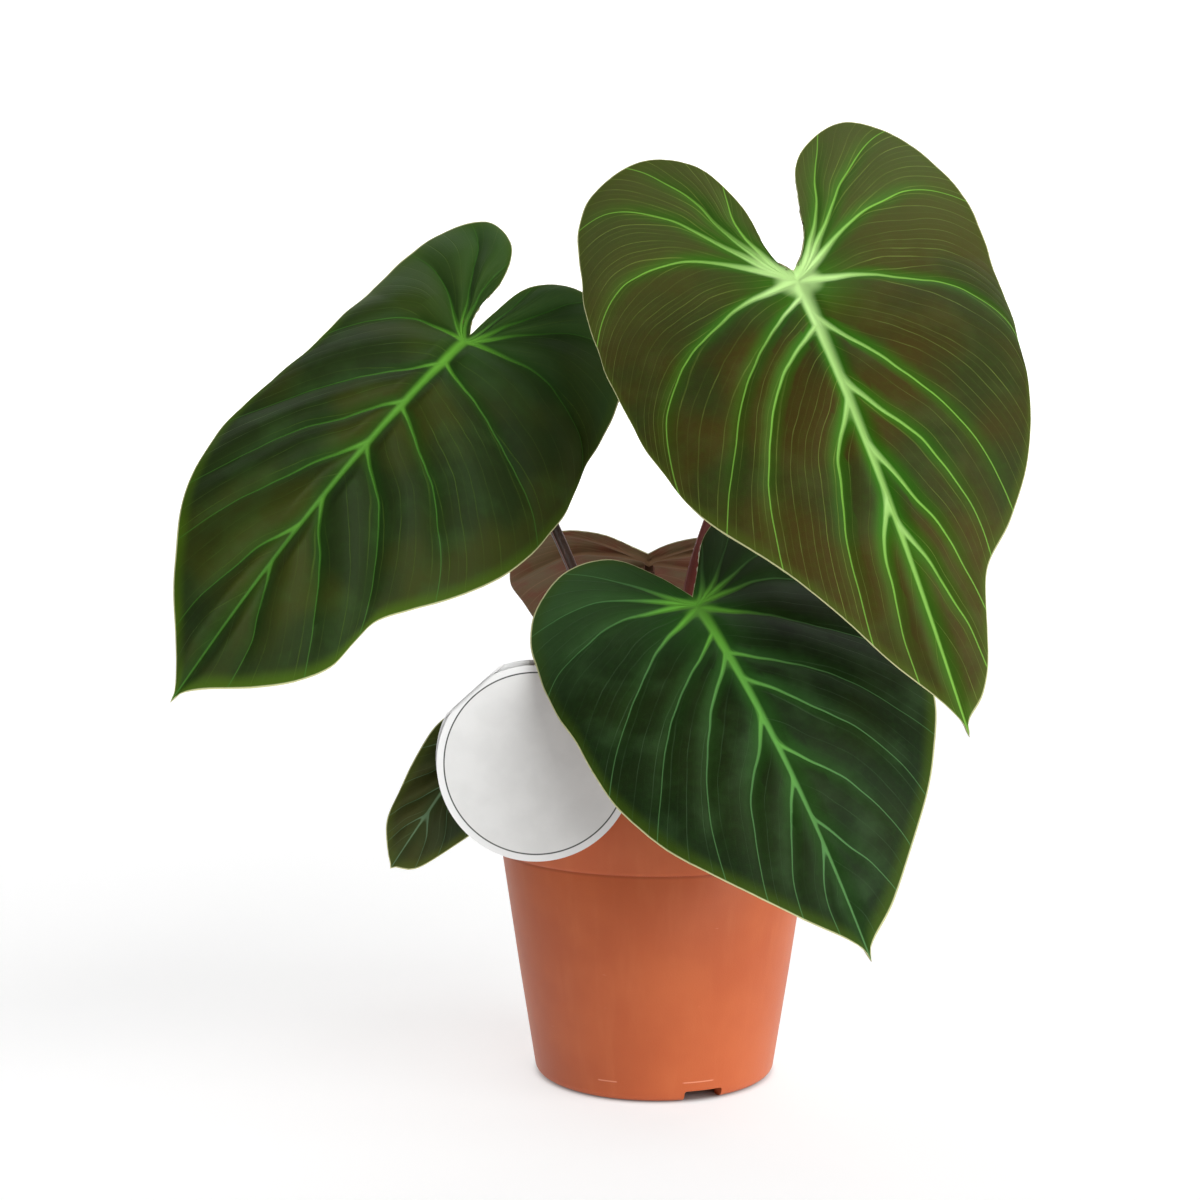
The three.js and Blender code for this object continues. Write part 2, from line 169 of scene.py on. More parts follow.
class Finish:
    """A material and short ways to add nodes to it."""

    def __init__(self, name, roughness, sheen=0.0, coat=0.0):
        self.material = bpy.data.materials.new(name)
        self.material.use_nodes = True
        self.nodes = self.material.node_tree.nodes
        self.links = self.material.node_tree.links
        self.shader = self.nodes["Principled BSDF"]
        self.shader.inputs["Roughness"].default_value = roughness
        self.shader.inputs["Sheen Weight"].default_value = sheen
        self.shader.inputs["Coat Weight"].default_value = coat
        self.place = self.nodes.new("ShaderNodeTexCoord").outputs["Object"]

    def put(self, value, socket):
        if isinstance(value, bpy.types.NodeSocket):
            self.links.new(value, socket)
        else:
            socket.default_value = value

    def attribute(self, name):
        node = self.nodes.new("ShaderNodeAttribute")
        node.attribute_name = name
        return node.outputs["Fac"]

    def noise(self, size, detail=3.0, stretch=(1, 1, 1)):
        """Noise whose features are about size millimetres wide."""
        mapping = self.nodes.new("ShaderNodeMapping")
        mapping.inputs["Scale"].default_value = stretch
        self.links.new(self.place, mapping.inputs["Vector"])
        node = self.nodes.new("ShaderNodeTexNoise")
        node.inputs["Scale"].default_value = 1 / (size * MM)
        node.inputs["Detail"].default_value = detail
        self.links.new(mapping.outputs["Vector"], node.inputs["Vector"])
        return node.outputs["Fac"]

    def ramp(self, value, low, high, out_low=0.0, out_high=1.0):
        """Smooth step of a value from low..high to out_low..out_high."""
        node = self.nodes.new("ShaderNodeMapRange")
        node.interpolation_type = "SMOOTHSTEP"
        self.put(value, node.inputs["Value"])
        for socket, number in zip(node.inputs[1:5], (low, high, out_low, out_high)):
            socket.default_value = number
        return node.outputs["Result"]

    def away_from(self, value, centre):
        """How far a value is from a centre, on either side of it."""
        return self.maths(self.maths(value, "SUBTRACT", centre), "ABSOLUTE", 0)

    def maths(self, first, operation, second):
        node = self.nodes.new("ShaderNodeMath")
        node.operation = operation
        self.put(first, node.inputs[0])
        self.put(second, node.inputs[1])
        return node.outputs["Value"]

    def mix(self, share, first, second):
        node = self.nodes.new("ShaderNodeMix")
        node.data_type = "RGBA"
        self.put(share, node.inputs["Factor"])
        self.put(paint(first) if isinstance(first, str) else first, node.inputs["A"])
        self.put(paint(second) if isinstance(second, str) else second, node.inputs["B"])
        return node.outputs["Result"]

    def coordinate(self, axis):
        node = self.nodes.new("ShaderNodeSeparateXYZ")
        self.links.new(self.place, node.inputs["Vector"])
        return node.outputs[axis]

    def bump(self, height, depth):
        """Relief from a height of 0..1; depth in millimetres."""
        node = self.nodes.new("ShaderNodeBump")
        node.inputs["Strength"].default_value = 1
        node.inputs["Distance"].default_value = depth * MM
        self.put(height, node.inputs["Height"])
        self.links.new(node.outputs["Normal"], self.shader.inputs["Normal"])

    def colour(self, socket):
        self.links.new(socket, self.shader.inputs["Base Color"])


# %% [markdown]
# ## The pot
# A nursery pot is injection moulded: a thin tapered wall, a slightly proud band under the rim, a rounded
# corner down to a foot ring, and drain notches through that ring. The wall is turned ring by ring, and the
# notches and drain holes are cut with Boolean modifiers, as a mould's cores would leave them.

# %% Pot sizes
POT_HEIGHT = 114
FOOT_RADIUS = 46.2
WALL_SLOPE = 0.145
WALL = 1.6
FOOT_CORNER = 3.5
FLOOR_UNDERSIDE = 4
FLOOR_TOP = 6
FOOT_RING_INSIDE = 40
CENTRE_PAD_RADIUS = 12
BAND_BOTTOM = 87
BAND_PROUD = 0.5
NOTCHES = 3
FIRST_NOTCH_ANGLE = -68
NOTCH_WIDTH = 15
NOTCH_HEIGHT = 4
DRAIN_HOLES = 6
DRAIN_HOLE_RADIUS = 5
DRAIN_HOLE_RING = 28
GROOVE = 0.15  # depth of the thin groove under the band
MOULD_LINE_HEIGHT = 7.5
# The mould lines are real low ridges; their pale colour is a painted highlight, for light caught on their
# upper edge.
MOULD_LINE_HIGHLIGHTS = [(-118, -108), (-79, -63)]  # short pale lines low on the front, in degrees round from +X


def wall_radius(height):
    return FOOT_RADIUS + WALL_SLOPE * height


def arc(centre, radius, start, end, steps):
    """Points of an arc in the (radius, height) plane, in degrees from level."""
    turns = [math.radians(start + (end - start) * i / steps) for i in range(steps + 1)]
    return [(centre[0] + radius * math.cos(t), centre[1] + radius * math.sin(t)) for t in turns]


# %% Pot mesh
lip = WALL / 2
inside_top = wall_radius(POT_HEIGHT) - WALL
pot_profile = [
    (CENTRE_PAD_RADIUS - 1, 0.3),
    (CENTRE_PAD_RADIUS, 0),
    (CENTRE_PAD_RADIUS + 1, FLOOR_UNDERSIDE),
    (FOOT_RING_INSIDE - 1, FLOOR_UNDERSIDE),
    (FOOT_RING_INSIDE, 0.3),
    (FOOT_RING_INSIDE + 0.5, 0),
    *arc((FOOT_RADIUS - FOOT_CORNER, FOOT_CORNER), FOOT_CORNER, -90, -8, 6),
    (wall_radius(40), 40),
    (wall_radius(BAND_BOTTOM), BAND_BOTTOM - 0.9),
    (wall_radius(BAND_BOTTOM) - GROOVE, BAND_BOTTOM - 0.5),
    (wall_radius(BAND_BOTTOM) - GROOVE, BAND_BOTTOM - 0.1),
    (wall_radius(BAND_BOTTOM) + BAND_PROUD - 0.2, BAND_BOTTOM),
    (wall_radius(BAND_BOTTOM) + BAND_PROUD, BAND_BOTTOM + 0.4),
    (wall_radius(BAND_BOTTOM) + BAND_PROUD + 0.1, BAND_BOTTOM + 1.2),
    *arc((wall_radius(POT_HEIGHT) + BAND_PROUD - lip, POT_HEIGHT - lip), lip, 0, 90, 4),
    *arc((inside_top + lip, POT_HEIGHT - lip), lip, 90, 180, 4),
    (wall_radius(60) - WALL, 60),
    (wall_radius(FLOOR_TOP + 3) - WALL, FLOOR_TOP + 3),
    (wall_radius(FLOOR_TOP) - WALL - 3, FLOOR_TOP),
    (CENTRE_PAD_RADIUS, FLOOR_TOP),
]
pot = turned_piece("nursery_pot", pot_profile, 160)


for i in range(NOTCHES):
    clear_selection()
    angle = math.radians(FIRST_NOTCH_ANGLE + 360 * i / NOTCHES)
    bpy.ops.mesh.primitive_cube_add(
        size=2 * NOTCH_HEIGHT * MM,
        location=(FOOT_RADIUS * math.cos(angle) * MM, FOOT_RADIUS * math.sin(angle) * MM, 0),
        rotation=(0, 0, angle),
    )
    notch = bpy.context.object
    notch.scale = (2.5, NOTCH_WIDTH / (2 * NOTCH_HEIGHT), 1)
    settle(notch)
    corner_bevel = notch.modifiers.new("corners", "BEVEL")
    corner_bevel.width = 0.8 * MM
    corner_bevel.segments = 3
    apply_modifiers(notch)
    combine(pot, notch, "DIFFERENCE")

for i in range(DRAIN_HOLES):
    clear_selection()
    angle = 2 * math.pi * i / DRAIN_HOLES
    bpy.ops.mesh.primitive_cylinder_add(
        vertices=32,
        radius=DRAIN_HOLE_RADIUS * MM,
        depth=2 * FLOOR_UNDERSIDE * MM,
        location=(
            DRAIN_HOLE_RING * math.cos(angle) * MM,
            DRAIN_HOLE_RING * math.sin(angle) * MM,
            FLOOR_TOP * MM,
        ),
    )
    drain = bpy.context.object
    settle(drain)
    combine(pot, drain, "DIFFERENCE")

# %% Moulded plastic
plastic = Finish("moulded_terracotta_plastic", roughness=0.45)
plastic.shader.inputs["Specular IOR Level"].default_value = 0.38
cloud = plastic.noise(30, 3)
clay = plastic.mix(plastic.ramp(cloud, 0.35, 0.7), "bc5a2c", "c46232")
streak = plastic.ramp(plastic.noise(6, 4, stretch=(1, 1, 0.12)), 0.45, 0.8, 0, 0.25)
clay = plastic.mix(streak, clay, "cf7242")
up_the_wall = plastic.coordinate("Z")
# Painted shade: a thin dark red-brown line along the groove under the band, where the band's lip shades the
# wall.
from_groove = plastic.away_from(up_the_wall, (BAND_BOTTOM - 0.4) * MM)
clay = plastic.mix(plastic.ramp(from_groove, 1.0 * MM, 0.2 * MM, 0, 0.3), clay, "7a2f1c")
scuff = plastic.ramp(plastic.noise(2.2, 6, stretch=(0.25, 0.25, 1.6)), 0.73, 0.82, 0, 0.5)
clay = plastic.mix(scuff, clay, "e9a284")
speck = plastic.ramp(plastic.noise(1.6, 2), 0.16, 0.21, 0.5, 0)
clay = plastic.mix(speck, clay, "8a3c22")
# Painted highlight: pale paint along two short mould lines, where a raised ridge would catch the light.
from_line = plastic.away_from(up_the_wall, MOULD_LINE_HEIGHT * MM)
turn = plastic.maths(plastic.coordinate("Y"), "ARCTAN2", plastic.coordinate("X"))
for start, end in MOULD_LINE_HIGHLIGHTS:
    middle = math.radians((start + end) / 2)
    reach = math.radians((end - start) / 2)
    from_middle = plastic.away_from(turn, middle)
    on_line = plastic.ramp(from_line, 0.35 * MM, 0.1 * MM, 0, 0.7)
    painted_highlight = plastic.maths(on_line, "MULTIPLY", plastic.ramp(from_middle, reach, 0.8 * reach))
    clay = plastic.mix(painted_highlight, clay, "eaa080")
plastic.colour(clay)
grain = plastic.noise(0.5, 4)
plastic.bump(grain, 0.05)
plastic.shader.inputs["Subsurface Weight"].default_value = 0.08
plastic.shader.inputs["Subsurface Radius"].default_value = (0.004, 0.0015, 0.0008)
pot.data.materials.append(plastic.material)
finish_piece(pot, "pot_plastic", "pot", angle=32)

# %% [markdown]
# ## The growing medium
# Peat and bark crumbs fill the pot to just under its rim. A turned disc with many rings gives a surface that
# noise can lift into lumps, and a few hundred crumbs are pressed into it. They are copies of a few rough
# stones, each with only some faces, joined into the one piece.

# %% Medium mesh
SOIL_EDGE = 95
SOIL_CROWN = 3
STEM_RADIUS = 8
STEM_BURIED = 26
CRUMBS = 420
CRUMB_KINDS = 7
SOIL_RINGS = 26
FIT = 0.3

rng = random.Random(7)


def soil_height(x, y):
    """The crown's height in millimetres, lumps included."""
    edge = wall_radius(SOIL_EDGE) - WALL
    share = math.hypot(x, y) / edge
    broad = math.sin(0.31 * x + 1) * math.cos(0.27 * y) + 0.5 * math.sin(0.6 * (x + y))
    fine = 0.5 * math.sin(1.7 * x + 0.4 * y) * math.sin(1.3 * y - 0.5 * x)
    return SOIL_EDGE + SOIL_CROWN * (1 - share * share) + 0.8 * (broad + fine) * (1 - 0.5 * share)


soil_edge = wall_radius(SOIL_EDGE) - WALL - FIT
rings = [soil_edge * (1 - i / SOIL_RINGS) for i in range(SOIL_RINGS)]
soil_profile = [
    (wall_radius(FLOOR_TOP) - WALL - 4, FLOOR_TOP + FIT),
    (wall_radius(FLOOR_TOP + 3) - WALL - FIT, FLOOR_TOP + 3 + FIT),
    *[(radius, SOIL_EDGE) for radius in rings],
]
soil = turned_piece("growing_medium", soil_profile, 96)
for vertex in soil.data.vertices:
    x, y, z = (v / MM for v in vertex.co)
    if z > SOIL_EDGE - 1:
        vertex.co.z = soil_height(x, y) * MM

# %% Crumbs
def rough_crumb(size, flat):
    """One crumb of about size millimetres, as a small stone with pushed corners."""
    clear_selection()
    bpy.ops.mesh.primitive_ico_sphere_add(subdivisions=1, radius=size / 2 * MM)
    crumb = bpy.context.object
    for vertex in crumb.data.vertices:
        push = [1 + rng.uniform(-0.3, 0.3) for _ in range(3)]
        vertex.co = [c * p for c, p in zip(vertex.co, push)]
        vertex.co.z *= flat
    return crumb


patterns = [rough_crumb(rng.uniform(2.5, 7), rng.uniform(0.35, 0.8)) for _ in range(CRUMB_KINDS)]
crumbs = []
for i in range(CRUMBS):
    copy = bpy.data.objects.new("crumb", rng.choice(patterns).data.copy())
    bpy.context.collection.objects.link(copy)
    turn = rng.uniform(0, 2 * math.pi)
    out = (soil_edge - 3) * math.sqrt(rng.uniform(0.04, 1))
    x, y = out * math.cos(turn), out * math.sin(turn)
    copy.location = (x * MM, y * MM, (soil_height(x, y) + rng.uniform(-0.6, 0.6)) * MM)
    copy.rotation_euler = (rng.uniform(-0.5, 0.5), rng.uniform(-0.5, 0.5), rng.uniform(0, 6))
    size = rng.uniform(0.35, 1.0)
    copy.scale = (size, size, size)
    crumbs.append(copy)
for pattern in patterns:
    bpy.data.objects.remove(pattern)
only(soil)
for crumb in crumbs:
    crumb.select_set(True)
bpy.ops.object.join()

peat = Finish("peat_and_bark", roughness=0.95)
shade = peat.noise(3.0, 5)
earth = peat.mix(peat.ramp(shade, 0.3, 0.7), "20150e", "4a3524")
earth = peat.mix(peat.ramp(peat.noise(1.3, 2), 0.62, 0.72), earth, "7a5a3c")
peat.colour(earth)
peat.bump(peat.noise(0.9, 5), 0.5)
soil.data.materials.append(peat.material)
finish_piece(soil, "growing_medium", "soil", angle=50)

# %% [markdown]
# ## The blades
# A blade is a thin curved sheet whose look comes from its veins: a pale midrib, primary veins that fan from
# the leaf base and then leave the midrib in turn, and fine veins that run between them to the margin. The
# veins must lie exactly on mesh edges to be drawn sharply, so the sheet is laid out vein by vein with a
# formula, and each vertex stores how far it is from the nearest vein. A Solidify modifier then gives the
# sheet its thickness, with more of it under the veins, where they stand out below.

# %% Blade forms
# A margin point is (along the midrib, out from it). A vein is where it starts on the midrib, the point it
# heads for, the point it bends by, and the share of the margin at which it ends.
BLADES = {
    "large_right": dict(
        base=(50, -38, 301), tip=(99, -120, 149), faces=(0.05, -1, 0.45),
        bow=17, fold=(-0.04, -0.04), drop=(12, 14), half=80, drip=3, sway=-2.5,
        quilt=0.07, ripple=1.5, vein_width=1, star=1,
        left=[
            (-8, 3.5), (-19, 6), (-41, 8), (-65, 18), (-76, 36), (-66, 60), (-31, 72), (8, 76), (50, 73),
            (86, 63), (121, 39), (151, 20),
        ],
        right=[
            (-9, 4.5), (-20, 10), (-40, 14), (-63, 24), (-76, 47), (-63, 67), (-28, 80), (8, 76),
            (48, 68), (85, 56), (116, 37), (132, 22), (152, 16), (171, 8),
        ],
        left_veins=[
            (0, (-11, 12), (-35, 14), 0.13), (0, (-14, 18), (-58, 19), 0.24),
            (0, (-13, 20), (-70, 37), 0.33), (0, (-9, 16), (-50, 55), 0.48), (2, (2, 6), (9, 68), 0.67),
            (9, (14, 7), (29, 34), 0.73), (25, (28, 5), (51, 39), 0.79), (59, (68, 4), (84, 21), 0.89),
            (100, (108, 4), (124, 13), 0.94),
        ],
        right_veins=[
            (0, (-10, 13), (-47, 23), 0.2), (0, (-6, 12), (-59, 36), 0.28), (0, (-4, 12), (-54, 50), 0.4),
            (2, (3, 6), (4, 80), 0.61), (18, (36, 3), (60, 40), 0.79), (50, (64, 4), (86, 29), 0.84),
            (78, (90, 3), (110, 15), 0.89), (110, (120, 4), (134, 10), 0.94),
        ],
    ),
    "large_left": dict(
        base=(-73, 12, 281), tip=(-172, -62, 152), faces=(0.1, -1, 0.35),
        bow=20, fold=(-0.22, -0.02), drop=(20, 14), half=80, drip=2, sway=0,
        quilt=0.23, ripple=1.5, vein_width=0.8, star=0.4,
        left=[
            (-9, 3), (-20, 5), (-35, 5.5), (-53, 13), (-59, 29), (-38, 43), (-5, 45), (40, 45), (80, 50),
            (110, 46), (141, 29), (162, 12),
        ],
        right=[
            (-18, 1), (-40, 5), (-53, 20), (-51, 42), (-26, 59), (10, 66), (45, 72), (80, 66), (106, 50),
            (118, 42.5), (128, 40.3), (139, 39.3), (150, 32.5), (160, 22), (172, 6),
        ],
        left_veins=[
            (0, (-6, 7), (-24, 10), 0.13), (0, (-6, 10), (-44, 16), 0.23), (0, (-3, 9), (-26, 20), 0.32),
            (0, (2, 8), (-6, 28), 0.5), (16, (24, 5), (38, 20), 0.66), (40, (50, 6), (70, 24), 0.75),
            (63, (74, 4), (98, 22), 0.82), (105, (114, 3), (129, 14), 0.92),
        ],
        right_veins=[
            (0, (-3, 3), (-20, 5), 0.11), (0, (-5, 8), (-33, 10), 0.19), (0, (-4, 9), (-40, 22), 0.27),
            (0, (-3, 10), (-22, 48), 0.45), (14, (20, 6), (28, 50), 0.56), (43, (48, 6), (64, 40), 0.7),
            (65, (72, 5), (86, 29), 0.79), (92, (100, 4), (115, 19), 0.86),
            (122, (130, 3), (141, 12), 0.94),
        ],
    ),
    "front": dict(
        base=(13, -68, 185.5), tip=(66, -134, 77), faces=(0.1, -1, 0.75),
        bow=16, fold=(-0.08, -0.08), drop=(16, 16), half=75, drip=2, sway=-2,
        quilt=0.07, ripple=1, vein_width=0.9, star=0.85,
        left=[
            (-19, 8), (-32, 20), (-34, 36), (-22, 52), (5, 60), (40, 60), (70, 55), (98, 38), (120, 17),
        ],
        right=[
            (-14, 7), (-30, 18), (-40, 36), (-32, 57), (0, 68), (35, 69), (62, 63), (84, 50), (105, 33),
            (125, 14),
        ],
        left_veins=[
            (0, (-4, 8), (-20, 15), 0.2), (0, (-4, 10), (-24, 27), 0.31), (0, (-3, 12), (-13, 40), 0.42),
            (2, (6, 7), (16, 36), 0.6), (14, (20, 5), (37, 32), 0.69), (24, (34, 5), (54, 32), 0.79),
            (52, (62, 4), (78, 22), 0.85), (77, (86, 4), (98, 15), 0.9), (100, (106, 2), (115, 8), 0.95),
        ],
        right_veins=[
            (0, (-2, 4), (-11, 8), 0.1), (0, (-2, 6), (-14, 18), 0.19), (0, (-2, 8), (-22, 36), 0.33),
            (0, (-1, 8), (-12, 46), 0.45), (2, (9, 9), (20, 38), 0.57), (25, (30, 7), (42, 34), 0.69),
            (36, (44, 4), (64, 36), 0.78), (64, (72, 4), (86, 24), 0.85), (92, (98, 4), (110, 13), 0.91),
        ],
    ),
    "back": dict(
        base=(-1, 60, 194), tip=(8, 132, 96), faces=(0, 0.8, 1),
        bow=14, fold=(-0.02, -0.02), drop=(9, 9), half=60, drip=0, sway=0,
        quilt=0.1, ripple=1, vein_width=0.8, star=0.4,
        left=[
            (-9, 7), (-13, 17), (-15, 31), (-10, 47), (6, 56), (28, 51), (56, 39), (85, 25), (108, 10),
        ],
        right=[
            (-9, 6), (-20, 20), (-25, 36), (-17, 51), (2, 57), (28, 51), (56, 39), (85, 25), (108, 10),
        ],
        left_veins=[
            (0, (-3, 5), (-8, 14), 0.18), (0, (-3, 10), (-13, 32), 0.36), (2, (3, 10), (10, 34), 0.52),
            (22, (27, 8), (42, 28), 0.69), (46, (52, 5), (68, 19), 0.8), (72, (77, 3), (89, 11), 0.9),
        ],
        right_veins=[
            (0, (-4, 6), (-16, 17), 0.2), (0, (-5, 9), (-18, 32), 0.38), (4, (5, 10), (12, 34), 0.53),
            (26, (31, 8), (46, 26), 0.7), (50, (56, 5), (70, 18), 0.81), (76, (80, 3), (91, 10), 0.91),
        ],
    ),
    "small_low": dict(
        base=(-62, -50, 139), tip=(-98, -40, 86), faces=(0.1, -1, 0.35),
        bow=5, fold=(-0.2, -0.1), drop=(2, 2), half=22, drip=0, sway=0,
        quilt=0.12, ripple=0.5, vein_width=1, star=0.4,
        left=[
            (-5, 3), (-4, 8), (1, 13), (8, 15.6), (20, 15.5), (34, 14), (49, 11), (60, 4),
        ],
        right=[
            (-7, 4), (-9, 10), (-4, 17), (8, 21), (22, 20), (36, 17), (49, 12.5), (60, 6.7),
        ],
        left_veins=[
            (0, (-1, 3), (-2, 7), 0.2), (1, (5, 4), (12, 9), 0.42), (10, (16, 4), (26, 9), 0.6),
            (24, (30, 4), (41, 8), 0.76), (38, (44, 3), (53, 6), 0.88),
        ],
        right_veins=[
            (0, (-2, 3), (-5, 9), 0.25), (1, (4, 5), (10, 13), 0.48), (9, (15, 5), (27, 13), 0.66),
            (22, (28, 4), (39, 10), 0.79), (36, (42, 3), (50, 7), 0.9),
        ],
    ),
}
SINUS_DEPTH = 4
SINUS_ROW_GAP = 0.05
COLUMNS = 54
MARGIN_POINTS = 800
ROWS_A_FINE_VEIN = 2
FINE_VEIN_SPACING = 4  # millimetres along the margin
MARGIN_WAVES = 3
BLADE_THICKNESS = 0.55
RIB_THICKNESS = 2.2
BRANCHING_REACH = 9  # how far from a primary vein's start a fine vein may branch from it
SECONDARY_STRENGTHS = (0.4, 1)  # every second fine vein is a clear one
TERTIARY_STRENGTHS = (0.02, 0.22)
PILLOW_WIDTH = 22  # a stretch between two veins that is wider than this puffs up no further


# %% Smooth lines
def smooth_line(points, count):
    """A centripetal Catmull-Rom line through the points, as count + 1 evenly spaced points."""
    knots = [np.array(p, float) for p in points]
    knots = [2 * knots[0] - knots[1], *knots, 2 * knots[-1] - knots[-2]]
    line = []
    for p0, p1, p2, p3 in zip(knots, knots[1:], knots[2:], knots[3:]):
        gaps = [max(np.linalg.norm(b - a) ** 0.5, 1e-6) for a, b in ((p0, p1), (p1, p2), (p2, p3))]
        leave = ((p1 - p0) / gaps[0] - (p2 - p0) / (gaps[0] + gaps[1]) + (p2 - p1) / gaps[1]) * gaps[1]
        reach = ((p2 - p1) / gaps[1] - (p3 - p1) / (gaps[1] + gaps[2]) + (p3 - p2) / gaps[2]) * gaps[1]
        for t in np.arange(0, 1, 1 / 24):
            line.append(
                (2 * t**3 - 3 * t**2 + 1) * p1
                + (t**3 - 2 * t**2 + t) * leave
                + (3 * t**2 - 2 * t**3) * p2
                + (t**3 - t**2) * reach
            )
    line = np.array([*line, knots[-2]])
    length = np.concatenate([[0], np.cumsum(np.linalg.norm(np.diff(line, axis=0), axis=1))])
    even = np.linspace(0, length[-1], count + 1)
    return np.stack([np.interp(even, length, column) for column in line.T], -1)


def unit(vector):
    return vector / np.linalg.norm(vector)


def smooth_step(value):
    value = np.clip(value, 0, 1)
    return value * value * (3 - 2 * value)


def distance_to_line(points, line):
    """Distance of each point to a line of points, and where on it, from 0 to 1."""
    start, run = line[:-1], np.diff(line, axis=0)
    square = np.maximum((run**2).sum(1), 1e-12)
    offset = points[:, None] - start[None]
    part = np.clip((offset * run).sum(-1) / square, 0, 1)
    gap = np.linalg.norm(offset - part[..., None] * run, axis=-1)
    nearest = gap.argmin(1)
    index = np.arange(len(points))
    return gap[index, nearest], (nearest + part[index, nearest]) / len(run)


# %% [markdown]
# Every row of vertices is a vein or runs midway between two. Rows are numbered by their `turn`: 1, 2, 3 are
# the primary veins counted from the sinus, and 2.25 lies a quarter of the way from the second to the third.
# A fine vein first keeps beside the nearest primary vein and leaves it later the nearer it is to it, which
# is how veins branch.

# %% Vein rows
class Half:
    """One half of a blade, as rows of points that follow its veins, in the blade's own flat plane."""

    def __init__(self, form, length, side):
        self.side = side
        self.length = length
        self.sway = side * form["sway"]
        name = "left" if side < 0 else "right"
        outline = [(-SINUS_DEPTH, 0), *form[name], (length - 1.5, 0.9), (length + form["drip"], 0)]
        self.margin = smooth_line(outline, MARGIN_POINTS)
        self.margin[:, 1] += self.margin_wobble(*self.margin.T)
        margin_length = np.linalg.norm(np.diff(self.margin, axis=0), axis=1).sum()
        sinus_line = (0, (-SINUS_DEPTH / 3, 0), (-SINUS_DEPTH / 1.5, 0), 0)
        tip_line = (0.96 * length, (0.97 * length, 0), (0.98 * length, 0), 1)
        self.keys = [sinus_line, *form[name + "_veins"], tip_line]
        turns = [0.0]
        self.order = [0]
        for i, (before, after) in enumerate(zip(self.keys, self.keys[1:])):
            veins = max(2, round((after[3] - before[3]) * margin_length / FINE_VEIN_SPACING))
            rows = veins * ROWS_A_FINE_VEIN
            turns += [i + (k + 1) / rows for k in range(rows)]
            self.order += [(k + 1) % ROWS_A_FINE_VEIN for k in range(rows)]
        self.turns = np.array(turns)
        self.order = np.array(self.order)
        self.out = np.linspace(0, 1, COLUMNS + 1)
        self.gap = np.minimum(self.turns.astype(int), len(self.keys) - 2)
        numbers = np.arange(len(self.keys))
        self.starts = np.interp(self.turns, numbers, [key[0] for key in self.keys])
        self.shares = np.interp(self.turns, numbers, [key[3] for key in self.keys])
        self.spread = self.branching()
        self.flat = self.points()
        self.flat[:, 0] = np.stack([self.starts, self.midrib_bend(self.starts)], -1)
        lines = [self.flat[np.searchsorted(self.turns, k)] for k in range(len(self.keys))]
        self.veins = lines[1:-1]
        widths = [np.linalg.norm(b - a, axis=1) for a, b in zip(lines, lines[1:])]
        self.gap_width = np.array([widths[k] for k in self.gap])

    def margin_wobble(self, along, across):
        """Small unevenness of the margin, none at the sinus and at the tip."""
        inside = smooth_step(across / 12)
        return inside * (0.25 * np.sin(along / 5.3 + 2 * self.side) + 0.12 * np.sin(along / 2.9 + across / 5))

    def midrib_bend(self, along):
        share = np.clip(along / self.length, 0, 1)
        return self.sway * 4 * share * (1 - share)

    def branching(self):
        """The turn of every point, with fine veins drawn towards the primary vein they branch from."""
        part = self.turns - self.gap
        middle = 2 * np.minimum(part, 1 - part)
        nearest = self.gap + (part > 0.5)
        from_start = np.abs(self.starts - np.array([key[0] for key in self.keys])[nearest])
        drawn = (1 - middle**3) * (1 - smooth_step(from_start / BRANCHING_REACH))
        self.leave = 0.62 * (1 - middle) * drawn
        along = smooth_step((self.out[None] - self.leave[:, None]) / 0.42)
        hug = drawn[:, None] * (1 - along) * smooth_step(self.out[None] / 0.1)
        moved = middle[:, None] / 2 * (1 - 0.88 * hug)
        return self.gap[:, None] + np.where(part[:, None] > 0.5, 1 - moved, moved)

    def points(self):
        out = self.out
        order = np.arange(len(self.keys))

        def blend(numbers):
            return np.interp(self.spread, order, numbers)

        share = blend([key[3] for key in self.keys])
        even = np.linspace(0, 1, len(self.margin))
        start_along = blend([key[0] for key in self.keys])
        bend_of_midrib = self.midrib_bend(start_along)
        flat = []
        for axis, start in enumerate((start_along, bend_of_midrib)):
            edge = np.interp(share, even, self.margin[:, axis])
            lead = blend([key[1][axis] for key in self.keys]) + axis * bend_of_midrib
            bend = blend([key[2][axis] for key in self.keys]) + axis * 0.5 * bend_of_midrib
            flat.append(
                (1 - out) ** 3 * start
                + 3 * out * (1 - out) ** 2 * lead
                + 3 * out**2 * (1 - out) * bend
                + out**3 * edge
            )
        along, across = flat
        free = np.sin(np.pi * out) * smooth_step(across / 8)
        wander_along = 0.7 * np.sin(across / 5.6 + 1.3 * np.sin(along / 11))
        wander_along += 0.12 * np.sin(across / 1.9 + along / 3)
        wander_across = 0.6 * np.sin(along / 5.9 + 1.1 * np.sin(across / 10)) + 0.1 * np.sin(along / 2.1)
        along = along + free * wander_along
        return np.stack([along, self.clear_of_sinus(along, across + free * wander_across)], -1)

    def clear_of_sinus(self, along, across):
        """Keeps the rows beside the sinus inside its margin, one after the other."""
        lobe_top = self.margin[:, 0].argmin()
        edge = np.interp(-along, -self.margin[:lobe_top, 0], self.margin[:lobe_top, 1])
        inside = edge + SINUS_ROW_GAP * np.arange(len(along))[:, None] * (1 - self.out)
        beside = (self.gap == 0)[:, None] & (along < -SINUS_DEPTH)
        return np.where(beside, np.maximum(across, inside), across)


